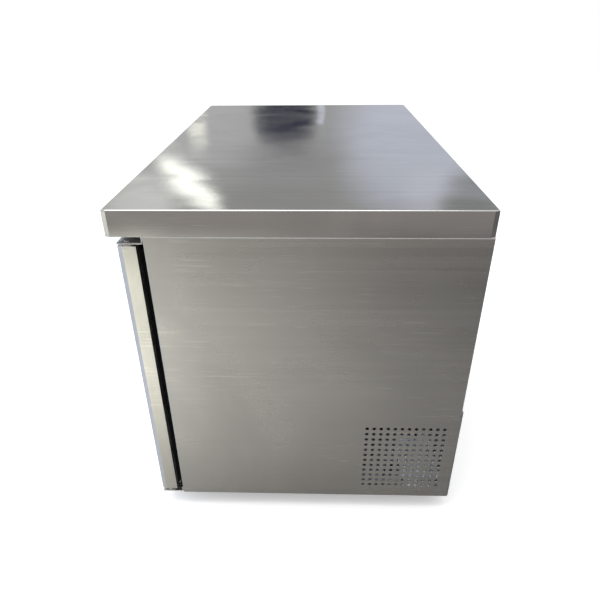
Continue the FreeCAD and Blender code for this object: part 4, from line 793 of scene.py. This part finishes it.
def studio_room():
    world = bpy.data.worlds.new("studio_room")
    bpy.context.scene.world = world
    world.use_nodes = True
    tree = world.node_tree
    background = tree.nodes["Background"]
    toward = add_node(tree, "TexCoord").outputs["Generated"]
    height = add_node(tree, "SeparateXYZ", {"Vector": toward}).outputs[2]
    lit = mix_colours(tree, ease(tree, height, 0.3, 0.9), (0.45, 0.45, 0.45, 1.0), (1.0, 1.0, 1.0, 1.0))
    for (side, rise), (run, climb), half_width, soft, colour in ROOM_SHAPES:
        aim = Vector((-math.sqrt(1 - side * side - rise * rise), side, rise))
        half_length = math.hypot(run, climb)
        away = add_node(tree, "VectorMath", {0: toward, 1: tuple(aim)}, operation="SUBTRACT").outputs[0]
        along = Vector((0.0, run, climb)) / half_length ** 2
        over = Vector((0.0, -climb, run)) / (half_length * half_width)
        shares = [add_node(tree, "VectorMath", {0: away, 1: tuple(axis)}, operation="DOT_PRODUCT")
                  .outputs["Value"] for axis in (along, over, Vector((1.0, 0.0, 0.0)))]
        joined = add_node(tree, "CombineXYZ", dict(enumerate(shares))).outputs[0]
        distance = add_node(tree, "VectorMath", {0: joined}, operation="LENGTH").outputs["Value"]
        lit = mix_colours(tree, ease(tree, distance, 1.0 - soft, 1.0 + soft, 1.0, 0.0), lit, shade(colour))
    seen = add_node(tree, "LightPath").outputs["Is Camera Ray"]
    tree.links.new(mix_colours(tree, seen, lit, (1.0, 1.0, 1.0, 1.0)), background.inputs["Color"])


studio_floor()
studio_room()
studio_light("overhead_light", (0.6, -0.6, 3.0), (0, 0, 0.4), (2.4, 2.4), 50.0)
studio_light("window_light", (-0.6, -3.2, 1.6), (0, 0, 0.4), (2.6, 2.0), 34.0, (0.84, 0.91, 1.0))
studio_light("bay_light", (0.47, 0.29, 0.27), (0.48, 0.29, 0.0), (0.12, 0.06), 0.1,
             (0.8, 0.88, 1.0))


# ---- Camera -----------------------------------------------------------------
# The view from off the right end, a little above the worktop, looking down along the cabinet.

CAMERA_PLACE = (1.5202, 0.0239, 1.0396)
CAMERA_YAW = math.radians(2.01)
CAMERA_PITCH = math.radians(31.495)
CAMERA_ROLL = math.radians(-0.577)
CAMERA_LENS = 32.466
CAMERA_SHIFT = (0.00678, 0.0665)

camera_data = bpy.data.cameras.new("camera")
camera = bpy.data.objects.new("camera", camera_data)
bpy.context.scene.collection.objects.link(camera)
bpy.context.scene.camera = camera
camera_data.sensor_width = 36.0
camera_data.lens = CAMERA_LENS
camera_data.shift_x, camera_data.shift_y = CAMERA_SHIFT
camera_data.clip_end = 100.0
level = math.cos(CAMERA_PITCH)
forward = Vector((-math.cos(CAMERA_YAW) * level, -math.sin(CAMERA_YAW) * level,
                  -math.sin(CAMERA_PITCH)))
right = forward.cross(Vector((0, 0, 1))).normalized()
up = right.cross(forward)
across = math.cos(CAMERA_ROLL) * right + math.sin(CAMERA_ROLL) * up
upward = -math.sin(CAMERA_ROLL) * right + math.cos(CAMERA_ROLL) * up
turned = Matrix((across, upward, -forward)).transposed().to_4x4()
camera.matrix_world = Matrix.Translation(CAMERA_PLACE) @ turned
bpy.context.scene.view_settings.view_transform = "Standard"
